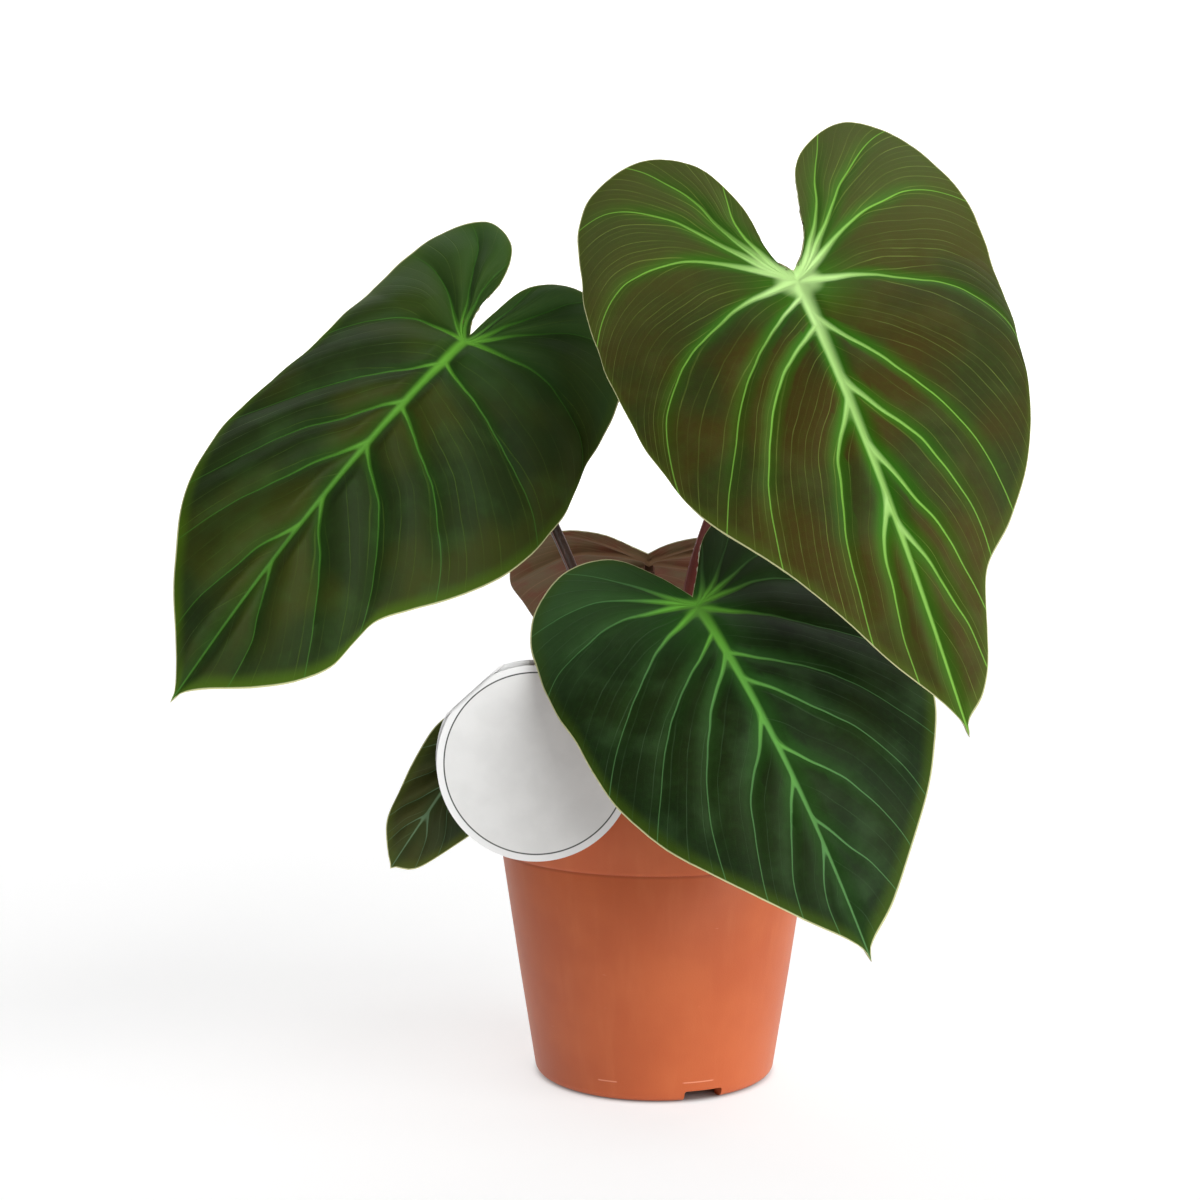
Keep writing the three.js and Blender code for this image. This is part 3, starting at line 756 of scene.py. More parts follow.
# %% Blade geometry
class Blade:
    """Places flat blade points in the frame and measures their distance to the veins."""

    def __init__(self, form):
        self.form = form
        self.base = np.array(form["base"], float)
        run = np.array(form["tip"], float) - self.base
        self.length = np.linalg.norm(run)
        self.along = unit(run)
        faces = np.array(form["faces"], float)
        self.up = unit(faces - faces @ self.along * self.along)
        self.right = np.cross(self.up, self.along)
        self.halves = [Half(form, self.length, side) for side in (-1, 1)]

    def rise(self, along, across):
        side = (across >= 0).astype(int)
        fold = np.array(self.form["fold"])[side]
        drop = np.array(self.form["drop"])[side]
        share = along / self.length
        middle = self.form["bow"] * np.where(along < 0, 2 * share, 4 * share * (1 - share))
        return middle + fold * (np.hypot(across, 4) - 4) - drop * (across / self.form["half"]) ** 2

    def place(self, along, across, height):
        return (
            self.base
            + along[:, None] * self.along
            + across[:, None] * self.right
            + height[:, None] * self.up
        )

    def vein_measures(self, half, flat):
        """Distances to the nearest main vein in millimetres and in vein widths, and how near its base."""
        size = min(1.0, self.length / 160) * self.form["vein_width"]
        from_base = np.hypot(flat[:, 0], flat[:, 1])
        basal = 1.1 * size * self.form["star"] * np.exp(-((from_base / 20) ** 2))
        near = np.full(len(flat), 1e3)
        core = np.full(len(flat), 1e3)
        reach = np.zeros(len(flat))
        for line in half.veins:
            gap, part = distance_to_line(flat, line)
            length = np.linalg.norm(np.diff(line, axis=0), axis=1).sum()
            width = size * (0.18 + 0.95 * min(1, length / 70) * (1 - part) ** 2) + basal * (line[0, 0] < 3)
            closer = gap / width < core
            core = np.where(closer, gap / width, core)
            near = np.where(closer, gap, near)
            reach = np.where(closer, (1 - part) ** 1.1 * min(1, length / 60), reach)
        down = np.clip(flat[:, 0] / self.length, 0, 1)
        from_middle = np.hypot(flat[:, 1] - half.midrib_bend(flat[:, 0]), np.minimum(flat[:, 0], 0))
        width = size * (0.3 + 1.7 * (1 - down) ** 1.3) + 0.3 * basal
        closer = from_middle / width < core
        core = np.where(closer, from_middle / width, core)
        near = np.where(closer, from_middle, near)
        reach = np.where(closer, 1.2 - 0.9 * down, reach)
        return near, core, reach, from_middle

    def fine_measures(self, half):
        """Distance to the nearest fine vein in vein widths, and how clearly that vein shows."""
        rows = len(half.turns)
        stride = ROWS_A_FINE_VEIN
        chance = random.Random(rows)
        strengths = [chance.uniform(*TERTIARY_STRENGTHS) for _ in range(rows)]
        for row in range(0, rows, 2 * stride):
            strengths[row] = chance.uniform(*SECONDARY_STRENGTHS)
        strengths = np.array(strengths)
        fine_row = np.clip(np.arange(rows) - half.order, 0, rows - 1)
        other = np.where(fine_row + stride < rows, fine_row + stride, fine_row - stride)
        gap = np.linalg.norm(half.flat - half.flat[fine_row], axis=-1)
        spacing = np.linalg.norm(half.flat[other] - half.flat[fine_row], axis=-1)
        strength = strengths[fine_row][:, None]
        fine = gap / (0.13 + 0.16 * strength)
        left = smooth_step((half.out[None] - half.leave[fine_row][:, None]) / 0.1)
        tied = np.isin(half.turns[fine_row], np.arange(len(half.keys)))[:, None]
        show = strength * left * smooth_step((spacing - 0.6) / 1.2) * ~tied
        return fine.reshape(-1), show.reshape(-1)

    def measure(self, half):
        """Heights and stored values for every point of one half."""
        rows, columns = half.flat.shape[:2]
        flat = half.flat.reshape(-1, 2)
        out = np.tile(half.out, rows)
        share = np.repeat(half.shares, columns)
        near, core, reach, from_middle = self.vein_measures(half, flat)
        fine, show = self.fine_measures(half)
        part = (half.spread - half.gap[:, None]).reshape(-1)
        pillow = np.minimum(half.gap_width, PILLOW_WIDTH) * (half.gap > 0)[:, None]
        pillow = pillow.reshape(-1) * smooth_step(from_middle / 6)
        puff = self.form["quilt"] * pillow * np.sin(np.pi * part) * (1 - out**6)
        deep = 0.35 + 0.5 * reach
        valley = -deep * np.exp(-((near / (0.9 + 1.1 * reach)) ** 2)) * (1 - out**4)
        groove = -0.14 * show * np.exp(-((fine / 2) ** 2))
        swing = np.sin(2 * np.pi * MARGIN_WAVES * share + half.side) * 4 * share * (1 - share)
        height = self.rise(flat[:, 0], half.side * flat[:, 1])
        height = height + puff + valley + groove + self.form["ripple"] * out**3 * swing
        edge = np.linalg.norm(half.flat - half.flat[:, -1:], axis=-1).reshape(-1)
        rib = np.exp(-((near / 1.0) ** 2)) * (0.35 + 0.65 * np.exp(-((from_middle / 1.6) ** 2)))
        rib = rib * smooth_step((1 - flat[:, 0] / self.length) / 0.15)
        star = self.form["star"] * np.exp(-((np.hypot(flat[:, 0] - 2, flat[:, 1]) / 17) ** 2))
        return dict(
            points=self.place(flat[:, 0], half.side * flat[:, 1], height),
            near=near, vein=core, reach=reach, star=star, fine=fine, show=show, edge=edge, rib=rib,
            down=np.clip(flat[:, 0] / self.length, -0.5, 1),
        )


# %% [markdown]
# The two halves meet at the midrib, but their veins leave it at different places. So the midrib's vertices
# are those of both halves, and the first faces of each row take up whatever vertices lie between.

# %% Blade mesh
FIELDS = ["points", "near", "vein", "reach", "star", "fine", "show", "edge", "rib", "down"]


def stitch(blade):
    """Vertex numbers for the rows of both halves, sharing the midrib, and the values of every vertex."""
    starts = sorted({round(float(s), 6) for half in blade.halves for s in half.starts})
    middle_index = {s: i for i, s in enumerate(starts)}
    stored = {field: [None] * len(starts) for field in FIELDS}
    numbers = []
    for half in blade.halves:
        values = blade.measure(half)
        last_row = len(half.turns) - 1
        ids = np.zeros((last_row + 1, COLUMNS + 1), int)
        for row in range(last_row + 1):
            first = middle_index[round(float(half.starts[row]), 6)]
            shared = row in (0, last_row) and half.side > 0
            here = row * (COLUMNS + 1)
            ids[row, 0] = first
            if stored["vein"][first] is None:
                for field in FIELDS:
                    stored[field][first] = values[field][here]
            if shared:
                ids[row, 1:] = numbers[0][0 if row == 0 else -1, 1:]
                continue
            ids[row, 1:] = range(len(stored["vein"]), len(stored["vein"]) + COLUMNS)
            for field in FIELDS:
                stored[field].extend(values[field][here + 1 : here + COLUMNS + 1])
        numbers.append(ids)
    return numbers, stored


def blade_mesh(name, form):
    blade = Blade(form)
    numbers, stored = stitch(blade)
    faces = []
    for half, ids in zip(blade.halves, numbers):
        turn = 1 if half.side > 0 else -1
        for row in range(len(ids) - 1):
            between = list(range(ids[row, 0], ids[row + 1, 0] + 1))
            faces.append([*between, ids[row + 1, 1], ids[row, 1]][::turn])
            for column in range(1, COLUMNS):
                here, below = ids[row], ids[row + 1]
                quad = [here[column], below[column], below[column + 1], here[column + 1]]
                faces.append(quad[::turn])
    mesh = bpy.data.meshes.new(name)
    points = np.array(stored["points"]) * MM
    mesh.from_pydata(points.tolist(), [], [[int(i) for i in face] for face in faces])
    for field in FIELDS[1:]:
        attribute = mesh.attributes.new(field, "FLOAT", "POINT")
        attribute.data.foreach_set("value", np.array(stored[field], np.float32))
    piece = bpy.data.objects.new(name, mesh)
    bpy.context.collection.objects.link(piece)
    return piece, stored["rib"]


def thicken(piece, ribs):
    """Gives the sheet its thickness below its upper face, with ribs under the veins."""
    group = piece.vertex_groups.new(name="ribs")
    thin = BLADE_THICKNESS / RIB_THICKNESS
    for index, rib in enumerate(ribs):
        group.add([index], thin + (1 - thin) * float(rib), "REPLACE")
    solidify = piece.modifiers.new("thickness", "SOLIDIFY")
    solidify.thickness = RIB_THICKNESS * MM
    solidify.offset = -1
    solidify.vertex_group = group.name
    solidify.material_offset = 1
    solidify.material_offset_rim = 2
    apply_modifiers(piece)


# %% [markdown]
# ## Velvet and veins
# The upper face is velvety, so it has little gloss and a soft sheen at a glancing angle. Its colour comes in
# layers: the dark ground with broad patches and a greener zone along the margin, a saturated green glow
# beside the veins, the thin yellow-green fine veins, and the veins themselves, which pale towards the leaf
# base. The underside is brown-red, with the veins standing out.

# %% Blade finishes
def velvet(
    name, dark, patch, lobe_and_sheen, zone, glow, line, vein, pale,
    sheen, glow_width, glow_share, glow_fade, line_share,
):
    """The upper face.

    dark and patch are the ground's two colours; the third colour is that of the lobes beside the base, lighter
    there partly as painted sheen and light, and of random patches; zone is that of the margin; glow lies
    beside the veins, line is the fine veins' colour, vein and pale those of thin and thick veins.
    The glow is weaker the further out on its vein it is, and more so with a higher glow_fade.
    """
    finish = Finish(name, roughness=0.55, sheen=sheen)
    finish.shader.inputs["Sheen Roughness"].default_value = 0.4
    finish.shader.inputs["Sheen Tint"].default_value = paint("a8c090")
    finish.shader.inputs["Specular IOR Level"].default_value = 0.08
    reach = finish.attribute("reach")
    star = finish.attribute("star")
    edge = finish.attribute("edge")
    colour = finish.mix(finish.ramp(finish.noise(48, 2), 0.4, 0.6), dark, patch)
    # Lighter green in random patches, which is the leaf's own tone, and on the lobes beside the base, which is
    # partly the leaf's own colour and partly painted sheen and light.
    colour = finish.mix(finish.ramp(finish.noise(15, 3), 0.45, 0.75, 0, 0.25), colour, lobe_and_sheen)
    colour = finish.mix(finish.ramp(finish.attribute("down"), 0.2, -0.3, 0, 0.8), colour, lobe_and_sheen)
    lower = finish.ramp(finish.attribute("down"), -0.1, 0.6, 0.4, 0.85)
    colour = finish.mix(finish.maths(finish.ramp(edge, 7, 0.5), "MULTIPLY", lower), colour, zone)
    colour = finish.mix(finish.ramp(finish.noise(2.2, 3), 0.4, 0.75, 0, 0.05), colour, glow)
    near = finish.ramp(finish.attribute("near"), glow_width, 0.2)
    strong = finish.maths(reach, "POWER", glow_fade)
    glowing = finish.maths(finish.maths(near, "MULTIPLY", near), "MULTIPLY", strong)
    glowing = finish.maths(glowing, "MULTIPLY", glow_share)
    glowing = finish.maths(glowing, "MAXIMUM", finish.maths(star, "MULTIPLY", 0.8))
    colour = finish.mix(glowing, colour, glow)
    fine = finish.maths(finish.ramp(finish.attribute("fine"), 1.7, 0.3), "MULTIPLY", finish.attribute("show"))
    fine = finish.maths(fine, "MULTIPLY", finish.ramp(finish.noise(20, 3), 0.4, 0.62, 0.35, 1))
    colour = finish.mix(finish.maths(fine, "MULTIPLY", line_share), colour, line)
    core = finish.ramp(finish.attribute("vein"), 1.7, 0.35)
    core = finish.maths(core, "MULTIPLY", finish.ramp(reach, 0.0, 0.35, 0.75, 1.0))
    bright = finish.mix(finish.ramp(finish.maths(reach, "ADD", star), 0.25, 1.5), vein, pale)
    colour = finish.mix(core, colour, bright)
    colour = finish.mix(finish.ramp(star, 0.7, 0.96, 0, 0.85), colour, pale)
    colour = finish.mix(finish.ramp(edge, 0.8, 0.3, 0, 0.9), colour, "d0d09c")
    finish.colour(colour)
    relief = finish.maths(finish.noise(0.45, 3), "MULTIPLY", 0.4)
    relief = finish.maths(relief, "SUBTRACT", finish.maths(fine, "MULTIPLY", 0.8))
    finish.bump(relief, 0.12)
    return finish.material


def underside(name, ground, warm, vein):
    finish = Finish(name, roughness=0.6)
    finish.shader.inputs["Specular IOR Level"].default_value = 0.15
    colour = finish.mix(finish.ramp(finish.noise(14, 4), 0.38, 0.65), ground, warm)
    near_fine = finish.ramp(finish.attribute("fine"), 2.2, 0.4)
    fine = finish.maths(near_fine, "MULTIPLY", finish.attribute("show"))
    colour = finish.mix(fine, colour, vein)
    core = finish.ramp(finish.attribute("vein"), 1.8, 0.5)
    colour = finish.mix(finish.maths(core, "MULTIPLY", 0.8), colour, vein)
    finish.colour(colour)
    finish.bump(finish.noise(0.7, 3), 0.1)
    return finish.material


bronze_velvet = velvet(
    "bronze_velvet", dark="373e19", patch="463c15", lobe_and_sheen="545d2e", zone="4c5a1c", glow="348012", line="869c44",
    vein="80ba46", pale="c8f49a", sheen=0.12, glow_width=8, glow_share=0.95, glow_fade=0.8, line_share=0.62,
)
green_velvet = velvet(
    "green_velvet", dark="243214", patch="353c12", lobe_and_sheen="3a5a28", zone="44600f", glow="2a5a18", line="567428",
    vein="407028", pale="66a636", sheen=0.2, glow_width=6, glow_share=0.65, glow_fade=1.0, line_share=0.34,
)
deep_velvet = velvet(
    "deep_velvet", dark="1a2a11", patch="202e12", lobe_and_sheen="44643a", zone="3c5210", glow="347024", line="52704a",
    vein="52804a", pale="78c848", sheen=0.14, glow_width=9, glow_share=0.55, glow_fade=1.3, line_share=0.3,
)
grey_velvet = velvet(
    "grey_velvet", dark="2a3824", patch="3a3c1a", lobe_and_sheen="34482c", zone="485218", glow="34502a", line="5c6c48",
    vein="5c7656", pale="7c9a70", sheen=0.2, glow_width=5, glow_share=0.5, glow_fade=1.0, line_share=0.3,
)
brown_underside = underside("brown_red_underside", "6a583c", "704632", "826448")
rim_skin = Finish("blade_rim", roughness=0.5)
rim_skin.colour(rim_skin.mix(rim_skin.noise(6, 3), "a9a96a", "d6d6a8"))

BLADE_UPPERS = {
    "large_right": bronze_velvet,
    "large_left": green_velvet,
    "front": deep_velvet,
    "back": green_velvet,
    "small_low": grey_velvet,
}
for name, form in BLADES.items():
    leaf, ribs = blade_mesh(f"blade_{name}", form)
    leaf.data.materials.append(BLADE_UPPERS[name])
    leaf.data.materials.append(brown_underside)
    leaf.data.materials.append(rim_skin.material)
    thicken(leaf, ribs)
    slot = "leaf_bronze" if name == "large_right" else "leaf_green"
    finish_piece(leaf, slot, f"leaf_{name}", angle=60)


# %% [markdown]
# ## The petioles
# Each petiole is one smooth stalk: round, a little flatter on top, wider where it clasps the stem, with a
# short knee where it turns into its blade. A curve with a round bevel follows the same route as the frame's
# solid and is then made a mesh, so that its upper side can be pressed in a little.

# %% Petiole routes
PETIOLES = {
    "large_right": dict(radius=2.5, route=[(4, -1, 104), (8, 1, 122), (10, 2, 155), (14.5, 1, 191),
                                           (32, -6, 242), (46, -19, 280)]),
    "large_left": dict(radius=2.2, route=[(-4, 1, 106), (-9, 5, 122), (-17, 10, 152), (-28, 14, 184),
                                          (-51, 21, 234), (-67, 25, 262)]),
    "front": dict(radius=2.2, route=[(1, -4, 100), (3, -11, 116), (7, -28, 146), (11, -46, 167)]),
    "back": dict(radius=2.1, route=[(1, 4, 102), (2, 10, 118), (1, 24, 148), (-1, 41, 171)]),
    "small_low": dict(radius=1.6, route=[(-3, -3, 100), (-12, -9, 114), (-31, -24, 137), (-49, -33, 145)]),
}
SEAT = 3.5
KNEE_LENGTH = 3.2
CAD_THICKNESS = 1
CAD_RIB = 2.4


def petiole_piece(name, radius, route, form):
    blade = Blade(form)
    height = blade.rise(np.array([SEAT]), np.array([0.0]))
    here, zero = np.array([SEAT]), np.array([0.0])
    knee = blade.place(here, zero, height - CAD_THICKNESS - CAD_RIB - KNEE_LENGTH * radius)[0]
    seat = blade.place(here, zero, height - RIB_THICKNESS)[0]
    line = smooth_line([*route, knee, seat], 70)
    clear_selection()
    bpy.ops.curve.primitive_nurbs_path_add()
    curve = bpy.context.object
    curve.data.splines.clear()
    spline = curve.data.splines.new("POLY")
    spline.points.add(len(line) - 1)
    for i, point in enumerate(line):
        share = i / (len(line) - 1)
        flare = 1 + 0.5 * math.exp(-((share / 0.06) ** 2)) + 0.12 * math.exp(-(((share - 0.95) / 0.05) ** 2))
        spline.points[i].co = (*(point * MM), 1)
        spline.points[i].radius = flare
    curve.data.bevel_depth = radius * MM
    curve.data.bevel_resolution = 5
    curve.data.use_fill_caps = True
    bpy.ops.object.convert(target="MESH")
    stalk = bpy.context.object
    stalk.name = f"stalk_{name}"
    stalk.data.materials.clear()
    settle(stalk)
    press_groove(stalk, line * MM, radius * MM, blade.up)
    return stalk


def press_groove(stalk, line, radius, up):
    """Presses a shallow groove into the upper side and stores where each vertex sits round the stalk."""
    runs = np.gradient(line, axis=0)
    points = np.array([v.co for v in stalk.data.vertices])
    nearest = np.array([np.linalg.norm(line - p, axis=1).argmin() for p in points])
    values = np.zeros(len(points), np.float32)
    for index, (point, spot) in enumerate(zip(points, nearest)):
        run = unit(runs[spot])
        top = unit(np.array(up) - np.array(up) @ run * run)
        offset = point - line[spot]
        offset = offset - offset @ run * run
        turn = offset @ top / max(np.linalg.norm(offset), 1e-9)
        values[index] = turn
        if turn > 0.5:
            stalk.data.vertices[index].co = Vector(point - top * 0.3 * radius * (turn - 0.5) / 0.5)
    stored = stalk.data.attributes.new("turn", "FLOAT", "POINT")
    stored.data.foreach_set("value", values)


# %% Petiole finish
def stalk_finish(name, deep, warm):
    finish = Finish(name, roughness=0.45, coat=0.1)
    skin = finish.mix(finish.ramp(finish.noise(14, 3, stretch=(1, 1, 0.3)), 0.35, 0.7), deep, warm)
    fleck = finish.ramp(finish.noise(0.8, 3, stretch=(1, 1, 0.2)), 0.6, 0.75, 0, 0.5)
    skin = finish.mix(fleck, skin, "8a5a4e")
    from_ridge = finish.away_from(finish.attribute("turn"), 0.5)
    skin = finish.mix(finish.ramp(from_ridge, 0.12, 0.02, 0, 0.6), skin, "c08a84")
    finish.colour(skin)
    finish.bump(finish.noise(0.6, 3, stretch=(1, 1, 0.15)), 0.08)
    return finish.material


brown_stalk = stalk_finish("brown_stalk", "34261c", "4c3022")
red_stalk = stalk_finish("red_stalk", "7c3832", "9a5048")
RED_STALKS = ("large_right", "front")
for name, plan in PETIOLES.items():
    stalk = petiole_piece(name, plan["radius"], plan["route"], BLADES[name])
    stalk.data.materials.append(red_stalk if name in RED_STALKS else brown_stalk)
    finish_piece(stalk, "petiole_skin", f"petiole_{name}", angle=60)

# %% [markdown]
# ## The stem
# The short main stem shows only from above and behind. Old leaf scars ring it, and a dry brown sheath is
# left at its top. It is turned like the pot, with a ring for each scar.

# %% Stem
STEM_TOP = 128
STEM_RINGS = [(104, 0), (106, 0.8), (108, 0.2), (115, 0.6), (117, 1.6), (119, 1.4)]

stem_bottom = SOIL_EDGE - STEM_BURIED
stem_profile = [(STEM_RADIUS - 1.5, stem_bottom), (STEM_RADIUS, stem_bottom + 2), (STEM_RADIUS, 96)]
for (height, inset), (next_height, next_inset) in zip(STEM_RINGS, STEM_RINGS[1:]):
    stem_profile.append((STEM_RADIUS - inset, height))
    middle = (height + next_height) / 2
    stem_profile.append((STEM_RADIUS - (inset + next_inset) / 2 + 0.1, middle))
stem_profile += [
    (STEM_RADIUS - 1.4, 119),
    (STEM_RADIUS - 3, STEM_TOP - 3),
    (STEM_RADIUS - 5.5, STEM_TOP),
    (0.5, STEM_TOP + 0.3),
]
stem = turned_piece("main_stem", stem_profile, 48)
for vertex in stem.data.vertices:
    x, y, z = (v / MM for v in vertex.co)
    swell = 1 + 0.03 * math.sin(3 * math.atan2(y, x) + 0.2 * z)
    vertex.co.x *= swell
    vertex.co.y *= swell

stem_skin = Finish("green_brown_stem", roughness=0.6)
bark = stem_skin.mix(stem_skin.ramp(stem_skin.noise(5, 4), 0.3, 0.7), "4a4a22", "6b4a30")
scar = stem_skin.ramp(stem_skin.noise(2, 3, stretch=(0.2, 0.2, 3)), 0.55, 0.65, 0, 0.7)
bark = stem_skin.mix(scar, bark, "8a6a48")
stem_skin.colour(bark)
stem_skin.bump(stem_skin.noise(1, 4, stretch=(0.3, 0.3, 2)), 0.3)
stem.data.materials.append(stem_skin.material)
finish_piece(stem, "stem_skin", "stem", angle=50)

# %% [markdown]
# ## The tag
# One piece of card is folded in two near its upper left edge and cut round, so that a front disc hangs
# before a back disc. A thin printed ring runs inside the edge of each disc, and the rest is bare. The fold is
# a long hairpin strip; Boolean modifiers cut it with two round cutters, one for each disc.

# %% Tag sizes
TAG_RADIUS = 35
TAG_CARD = 0.8
TAG_GAP = 1.6
TAG_CENTRE = (-43.7, -64.2, 128.8)
TAG_FOLD_ANGLE = 42
TAG_FOLD_REACH = 34.2
TAG_BACK_SHIFT = (-0.5, 0, 1.6)
TAG_RING_RADIUS = 32.4
TAG_RING_HALF_WIDTH = 0.22
TAB_WIDTH = 12
TAB_ANGLE = 246
TAB_DROP = 8


# %% Tag mesh
def hairpin_strip():
    """The folded card before it is cut round, standing in the tag's place."""
    inner, outer = TAG_GAP / 2, TAG_GAP / 2 + TAG_CARD
    bend = TAG_FOLD_REACH - outer
    far = -TAG_RADIUS - 5
    outside = [(far, outer), *arc((bend, 0), outer, 90, -90, 12), (far, -outer)]
    inside = [(far, -inner), *arc((bend, 0), inner, -90, 90, 12), (far, inner)]
    section = [*outside, *inside]
    lean = math.radians(TAG_FOLD_ANGLE)
    to_fold = Vector((-math.sin(lean), 0, math.cos(lean)))
    along_fold = Vector((math.cos(lean), 0, math.sin(lean)))
    forward = Vector((0, -1, 0))
    half = TAG_RADIUS + 5
    centre = Vector(TAG_CENTRE)
    points = []
    for end in (-half, half):
        points += [(centre + to_fold * u + forward * v + along_fold * end) * MM for u, v in section]
    count = len(section)
    pairs = len(outside)
    faces = [[i, (i + 1) % count, (i + 1) % count + count, i + count] for i in range(count)]
    # The ends are strips of quads between the outer and the inner line of the hairpin
    for i in range(pairs - 1):
        a, b, c, d = i, i + 1, count - 2 - i, count - 1 - i
        faces.append([a, d, c, b])
        faces.append([n + count for n in (a, b, c, d)])
    mesh = bpy.data.meshes.new("hairpin")
    mesh.from_pydata(points, [], faces)
    strip = bpy.data.objects.new("folded_tag", mesh)
    bpy.context.collection.objects.link(strip)
    face_outwards(strip)
    return strip


def round_cutter(shift, towards):
    depth = TAG_GAP + 2 * TAG_CARD
    clear_selection()
    bpy.ops.mesh.primitive_cylinder_add(
        vertices=144,
        radius=TAG_RADIUS * MM,
        depth=depth * MM,
        location=[(c + s) * MM for c, s in zip(TAG_CENTRE, shift)],
        rotation=(math.pi / 2, 0, 0),
    )
    disc = bpy.context.object
    disc.location.y += towards * depth / 2 * MM
    settle(disc)
    return disc


tag = hairpin_strip()
cutter = round_cutter((0, 0, 0), -1)
combine(cutter, round_cutter(TAG_BACK_SHIFT, 1), "UNION")
combine(tag, cutter, "INTERSECT")
print("tag mesh", len(tag.data.polygons), "faces")

# %% Tab over the rim
tab_turn = math.radians(TAB_ANGLE)
tab_out = Vector((math.cos(tab_turn), math.sin(tab_turn), 0))
tab_side = Vector((-tab_out.y, tab_out.x, 0))
rim_top = POT_HEIGHT + FIT
rim_inside = wall_radius(POT_HEIGHT) - WALL - 2 * FIT
slant = 2 * WALL_SLOPE * TAB_DROP
back_face = -(TAG_CENTRE[1] + TAG_GAP / 2 + TAG_CARD / 2)
tab_reach = back_face / -tab_out.y
hook = [
    (tab_reach, rim_top),
    (tab_reach, rim_top + TAG_CARD),
    (rim_inside - TAG_CARD, rim_top + TAG_CARD),
    (rim_inside - TAG_CARD - slant, rim_top - TAB_DROP),
    (rim_inside - slant, rim_top - TAB_DROP),
    (rim_inside, rim_top),
]
corners = []
for end in (-TAB_WIDTH / 2, TAB_WIDTH / 2):
    corners += [(tab_out * out + tab_side * end + Vector((0, 0, up))) * MM for out, up in hook]
sides = len(hook)
tab_faces = [[i, (i + 1) % sides, (i + 1) % sides + sides, i + sides] for i in range(sides)]
tab_faces += [list(range(sides))[::-1], [i + sides for i in range(sides)]]
tab_mesh = bpy.data.meshes.new("tab")
tab_mesh.from_pydata(corners, [], tab_faces)
tab = bpy.data.objects.new("tab", tab_mesh)
bpy.context.collection.objects.link(tab)
face_outwards(tab)
combine(tag, tab, "UNION")

# %% Card finish
card = Finish("pale_card", roughness=0.6)
east = card.coordinate("X")
north = card.coordinate("Z")
depth = card.coordinate("Y")
is_back = card.ramp(depth, (TAG_CENTRE[1] - 0.1) * MM, (TAG_CENTRE[1] + 0.1) * MM)


def off_centre(position, centre, shift):
    """Distance along one axis from the middle of whichever disc the point is on."""
    middle = card.maths(is_back, "MULTIPLY", shift * MM)
    return card.maths(card.maths(position, "SUBTRACT", centre * MM), "SUBTRACT", middle)


across = off_centre(east, TAG_CENTRE[0], TAG_BACK_SHIFT[0])
upward = off_centre(north, TAG_CENTRE[2], TAG_BACK_SHIFT[2])
squares = card.maths(card.maths(across, "MULTIPLY", across), "ADD", card.maths(upward, "MULTIPLY", upward))
from_ring = card.maths(card.maths(squares, "SQRT", 0), "SUBTRACT", TAG_RING_RADIUS * MM)
ring = card.ramp(
    card.maths(from_ring, "ABSOLUTE", 0), 1.5 * TAG_RING_HALF_WIDTH * MM, 0.6 * TAG_RING_HALF_WIDTH * MM
)
from_rim_of_ring = card.ramp(from_ring, 0.2 * MM, 0.6 * MM)
face = card.mix(card.ramp(card.noise(9, 3), 0.35, 0.7), "e5e5e3", "eaeae8")
face = card.mix(from_rim_of_ring, face, "f4f4f3")
card.colour(card.mix(ring, face, "3a3d38"))
card.bump(card.noise(0.35, 4), 0.03)
tag.data.materials.append(card.material)
finish_piece(tag, "tag_card", "tag", angle=30)

# %% [markdown]
# ## The studio
# The floor and the wall far behind are plain white and bright, but the floor's glow is left off under the pot,
# which paints a shadow round its foot. The light is soft: a broad lamp high on the right, and a sky that is
# bright above and on the right and dark on the left, so that round pieces get a shaded side and the shadow on
# the floor stays faint. The walls on the other three sides are only a backdrop for other views, so they
# neither light the plant nor shade it.

# %% Floor and wall
def stage_plane(name, place, turn, shade, glow, shaded_radius=0.0):
    """A plain surface that glows a little, but not within shaded_radius metres of its middle, which paints a
    shadow there.
    """
    clear_selection()
    bpy.ops.mesh.primitive_plane_add(size=14, location=place, rotation=turn)
    plane = bpy.context.object
    plane.name = name
    paint_of_plane = Finish(f"{name}_paint", roughness=1)
    paint_of_plane.colour(paint_of_plane.mix(paint_of_plane.noise(900, 1), shade, "b4b4b4"))
    paint_of_plane.shader.inputs["Specular IOR Level"].default_value = 0.1
    paint_of_plane.shader.inputs["Emission Color"].default_value = (1, 1, 1, 1)
    # Painted shadow: the glow is left off under the pot's foot and fades in just outside it, darkening the
    # floor there.
    if shaded_radius:
        distance = paint_of_plane.nodes.new("ShaderNodeVectorMath")
        distance.operation = "LENGTH"
        paint_of_plane.links.new(paint_of_plane.place, distance.inputs[0])
        near, far = 0.9 * shaded_radius, 1.04 * shaded_radius
        lit = paint_of_plane.ramp(distance.outputs["Value"], near, far, 0, glow)
        paint_of_plane.put(lit, paint_of_plane.shader.inputs["Emission Strength"])
    else:
        paint_of_plane.shader.inputs["Emission Strength"].default_value = glow
    plane.data.materials.append(paint_of_plane.material)
    return plane


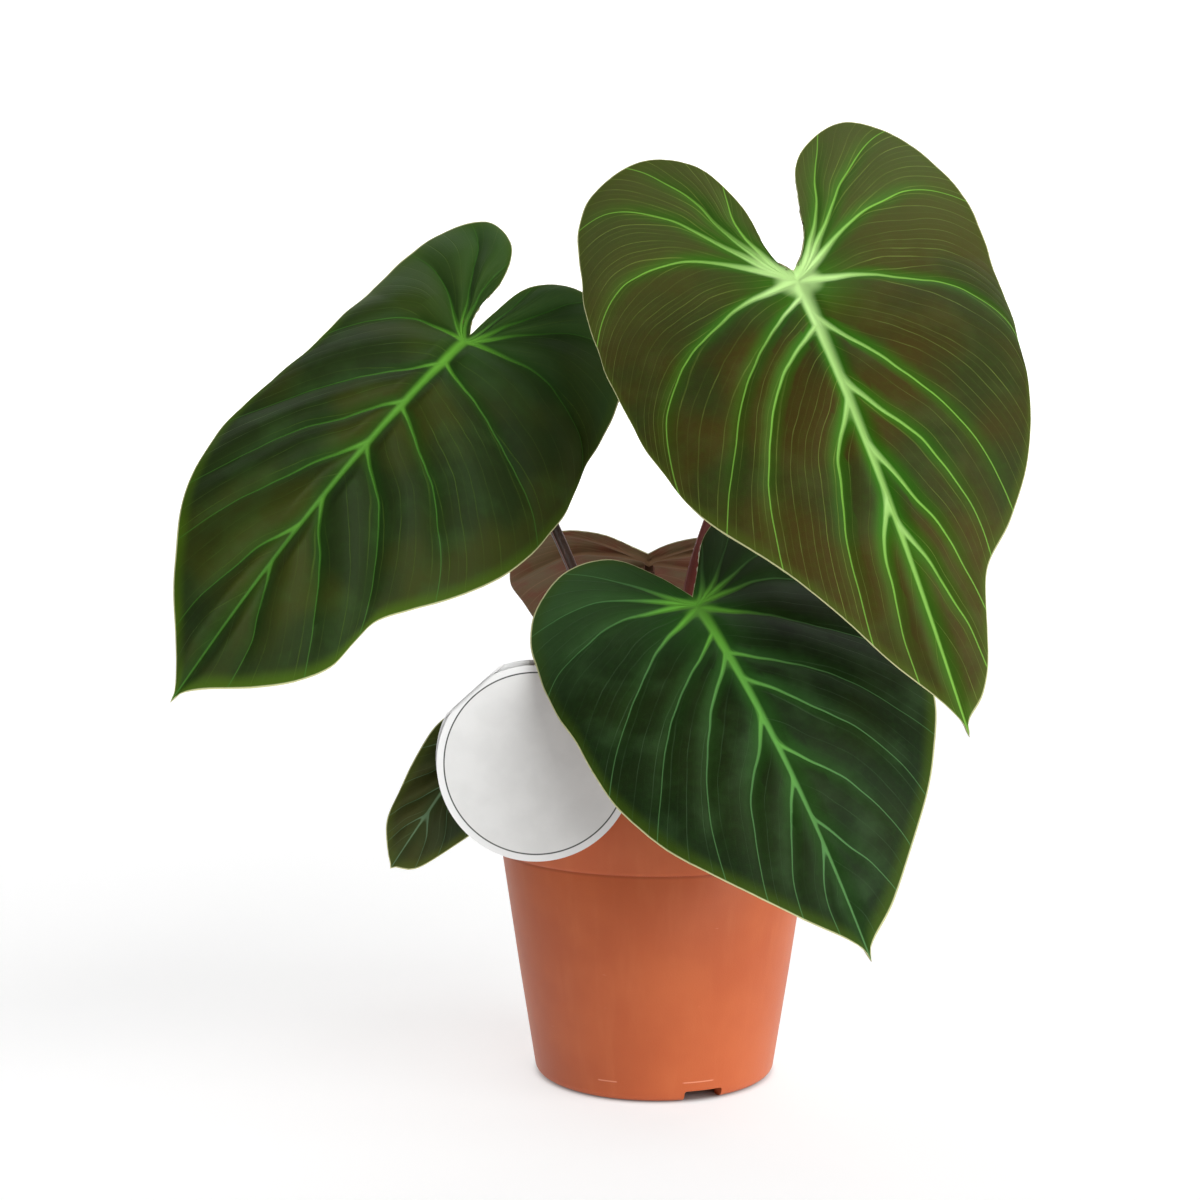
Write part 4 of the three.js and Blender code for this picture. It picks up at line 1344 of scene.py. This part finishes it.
FLOOR_DROP = 0.0002  # metres below the pot's foot
WALL_AWAY = 6.9  # metres
WALL_MIDDLE = 5
floor = stage_plane("floor", (0, 0, -FLOOR_DROP), (0, 0, 0), "b0b0b0", 0.7, FOOT_RADIUS * MM)
wall = stage_plane("wall", (0, WALL_AWAY, WALL_MIDDLE), (math.pi / 2, 0, 0), "acacac", 1.0)
for name, east, north, turn in (("left", -1, 0, 90), ("right", 1, 0, 90), ("front", 0, -1, 0)):
    place = (east * WALL_AWAY, north * WALL_AWAY, WALL_MIDDLE)
    unlit = stage_plane(f"{name}_wall", place, (math.pi / 2, 0, math.radians(turn)), "acacac", 1.0)
    unlit.visible_diffuse = False
    unlit.visible_glossy = False
    unlit.visible_shadow = False

# %% Lights
LAMP_FROM = (0.7, -0.68, 0.42)
LAMP_SPREAD = 70  # degrees
LAMP_STRENGTH = 3.4
SKY_BRIGHTEST_TOWARDS = (0.4, -0.4, 0.6)
SKY_DARK, SKY_BRIGHT = 0.06, 0.66
SKY_FROM, SKY_TO = -0.6, 0.85

bpy.ops.object.light_add(type="SUN", location=LAMP_FROM)
lamp = bpy.context.object
lamp.data.energy = LAMP_STRENGTH
lamp.data.angle = math.radians(LAMP_SPREAD)
lamp.rotation_euler = Vector(LAMP_FROM).to_track_quat("Z", "Y").to_euler()

world = bpy.data.worlds.new("studio_sky")
bpy.context.scene.world = world
world.use_nodes = True
sky_nodes = world.node_tree.nodes
sky_links = world.node_tree.links
direction = sky_nodes.new("ShaderNodeTexCoord").outputs["Generated"]
towards = sky_nodes.new("ShaderNodeVectorMath")
towards.operation = "DOT_PRODUCT"
towards.inputs[1].default_value = SKY_BRIGHTEST_TOWARDS
strength = sky_nodes.new("ShaderNodeMapRange")
for socket, number in zip(strength.inputs[1:5], (SKY_FROM, SKY_TO, SKY_DARK, SKY_BRIGHT)):
    socket.default_value = number
sky_links.new(direction, towards.inputs[0])
sky_links.new(towards.outputs["Value"], strength.inputs["Value"])
sky_links.new(strength.outputs["Result"], sky_nodes["Background"].inputs["Strength"])
bpy.context.scene.view_settings.view_transform = "Standard"
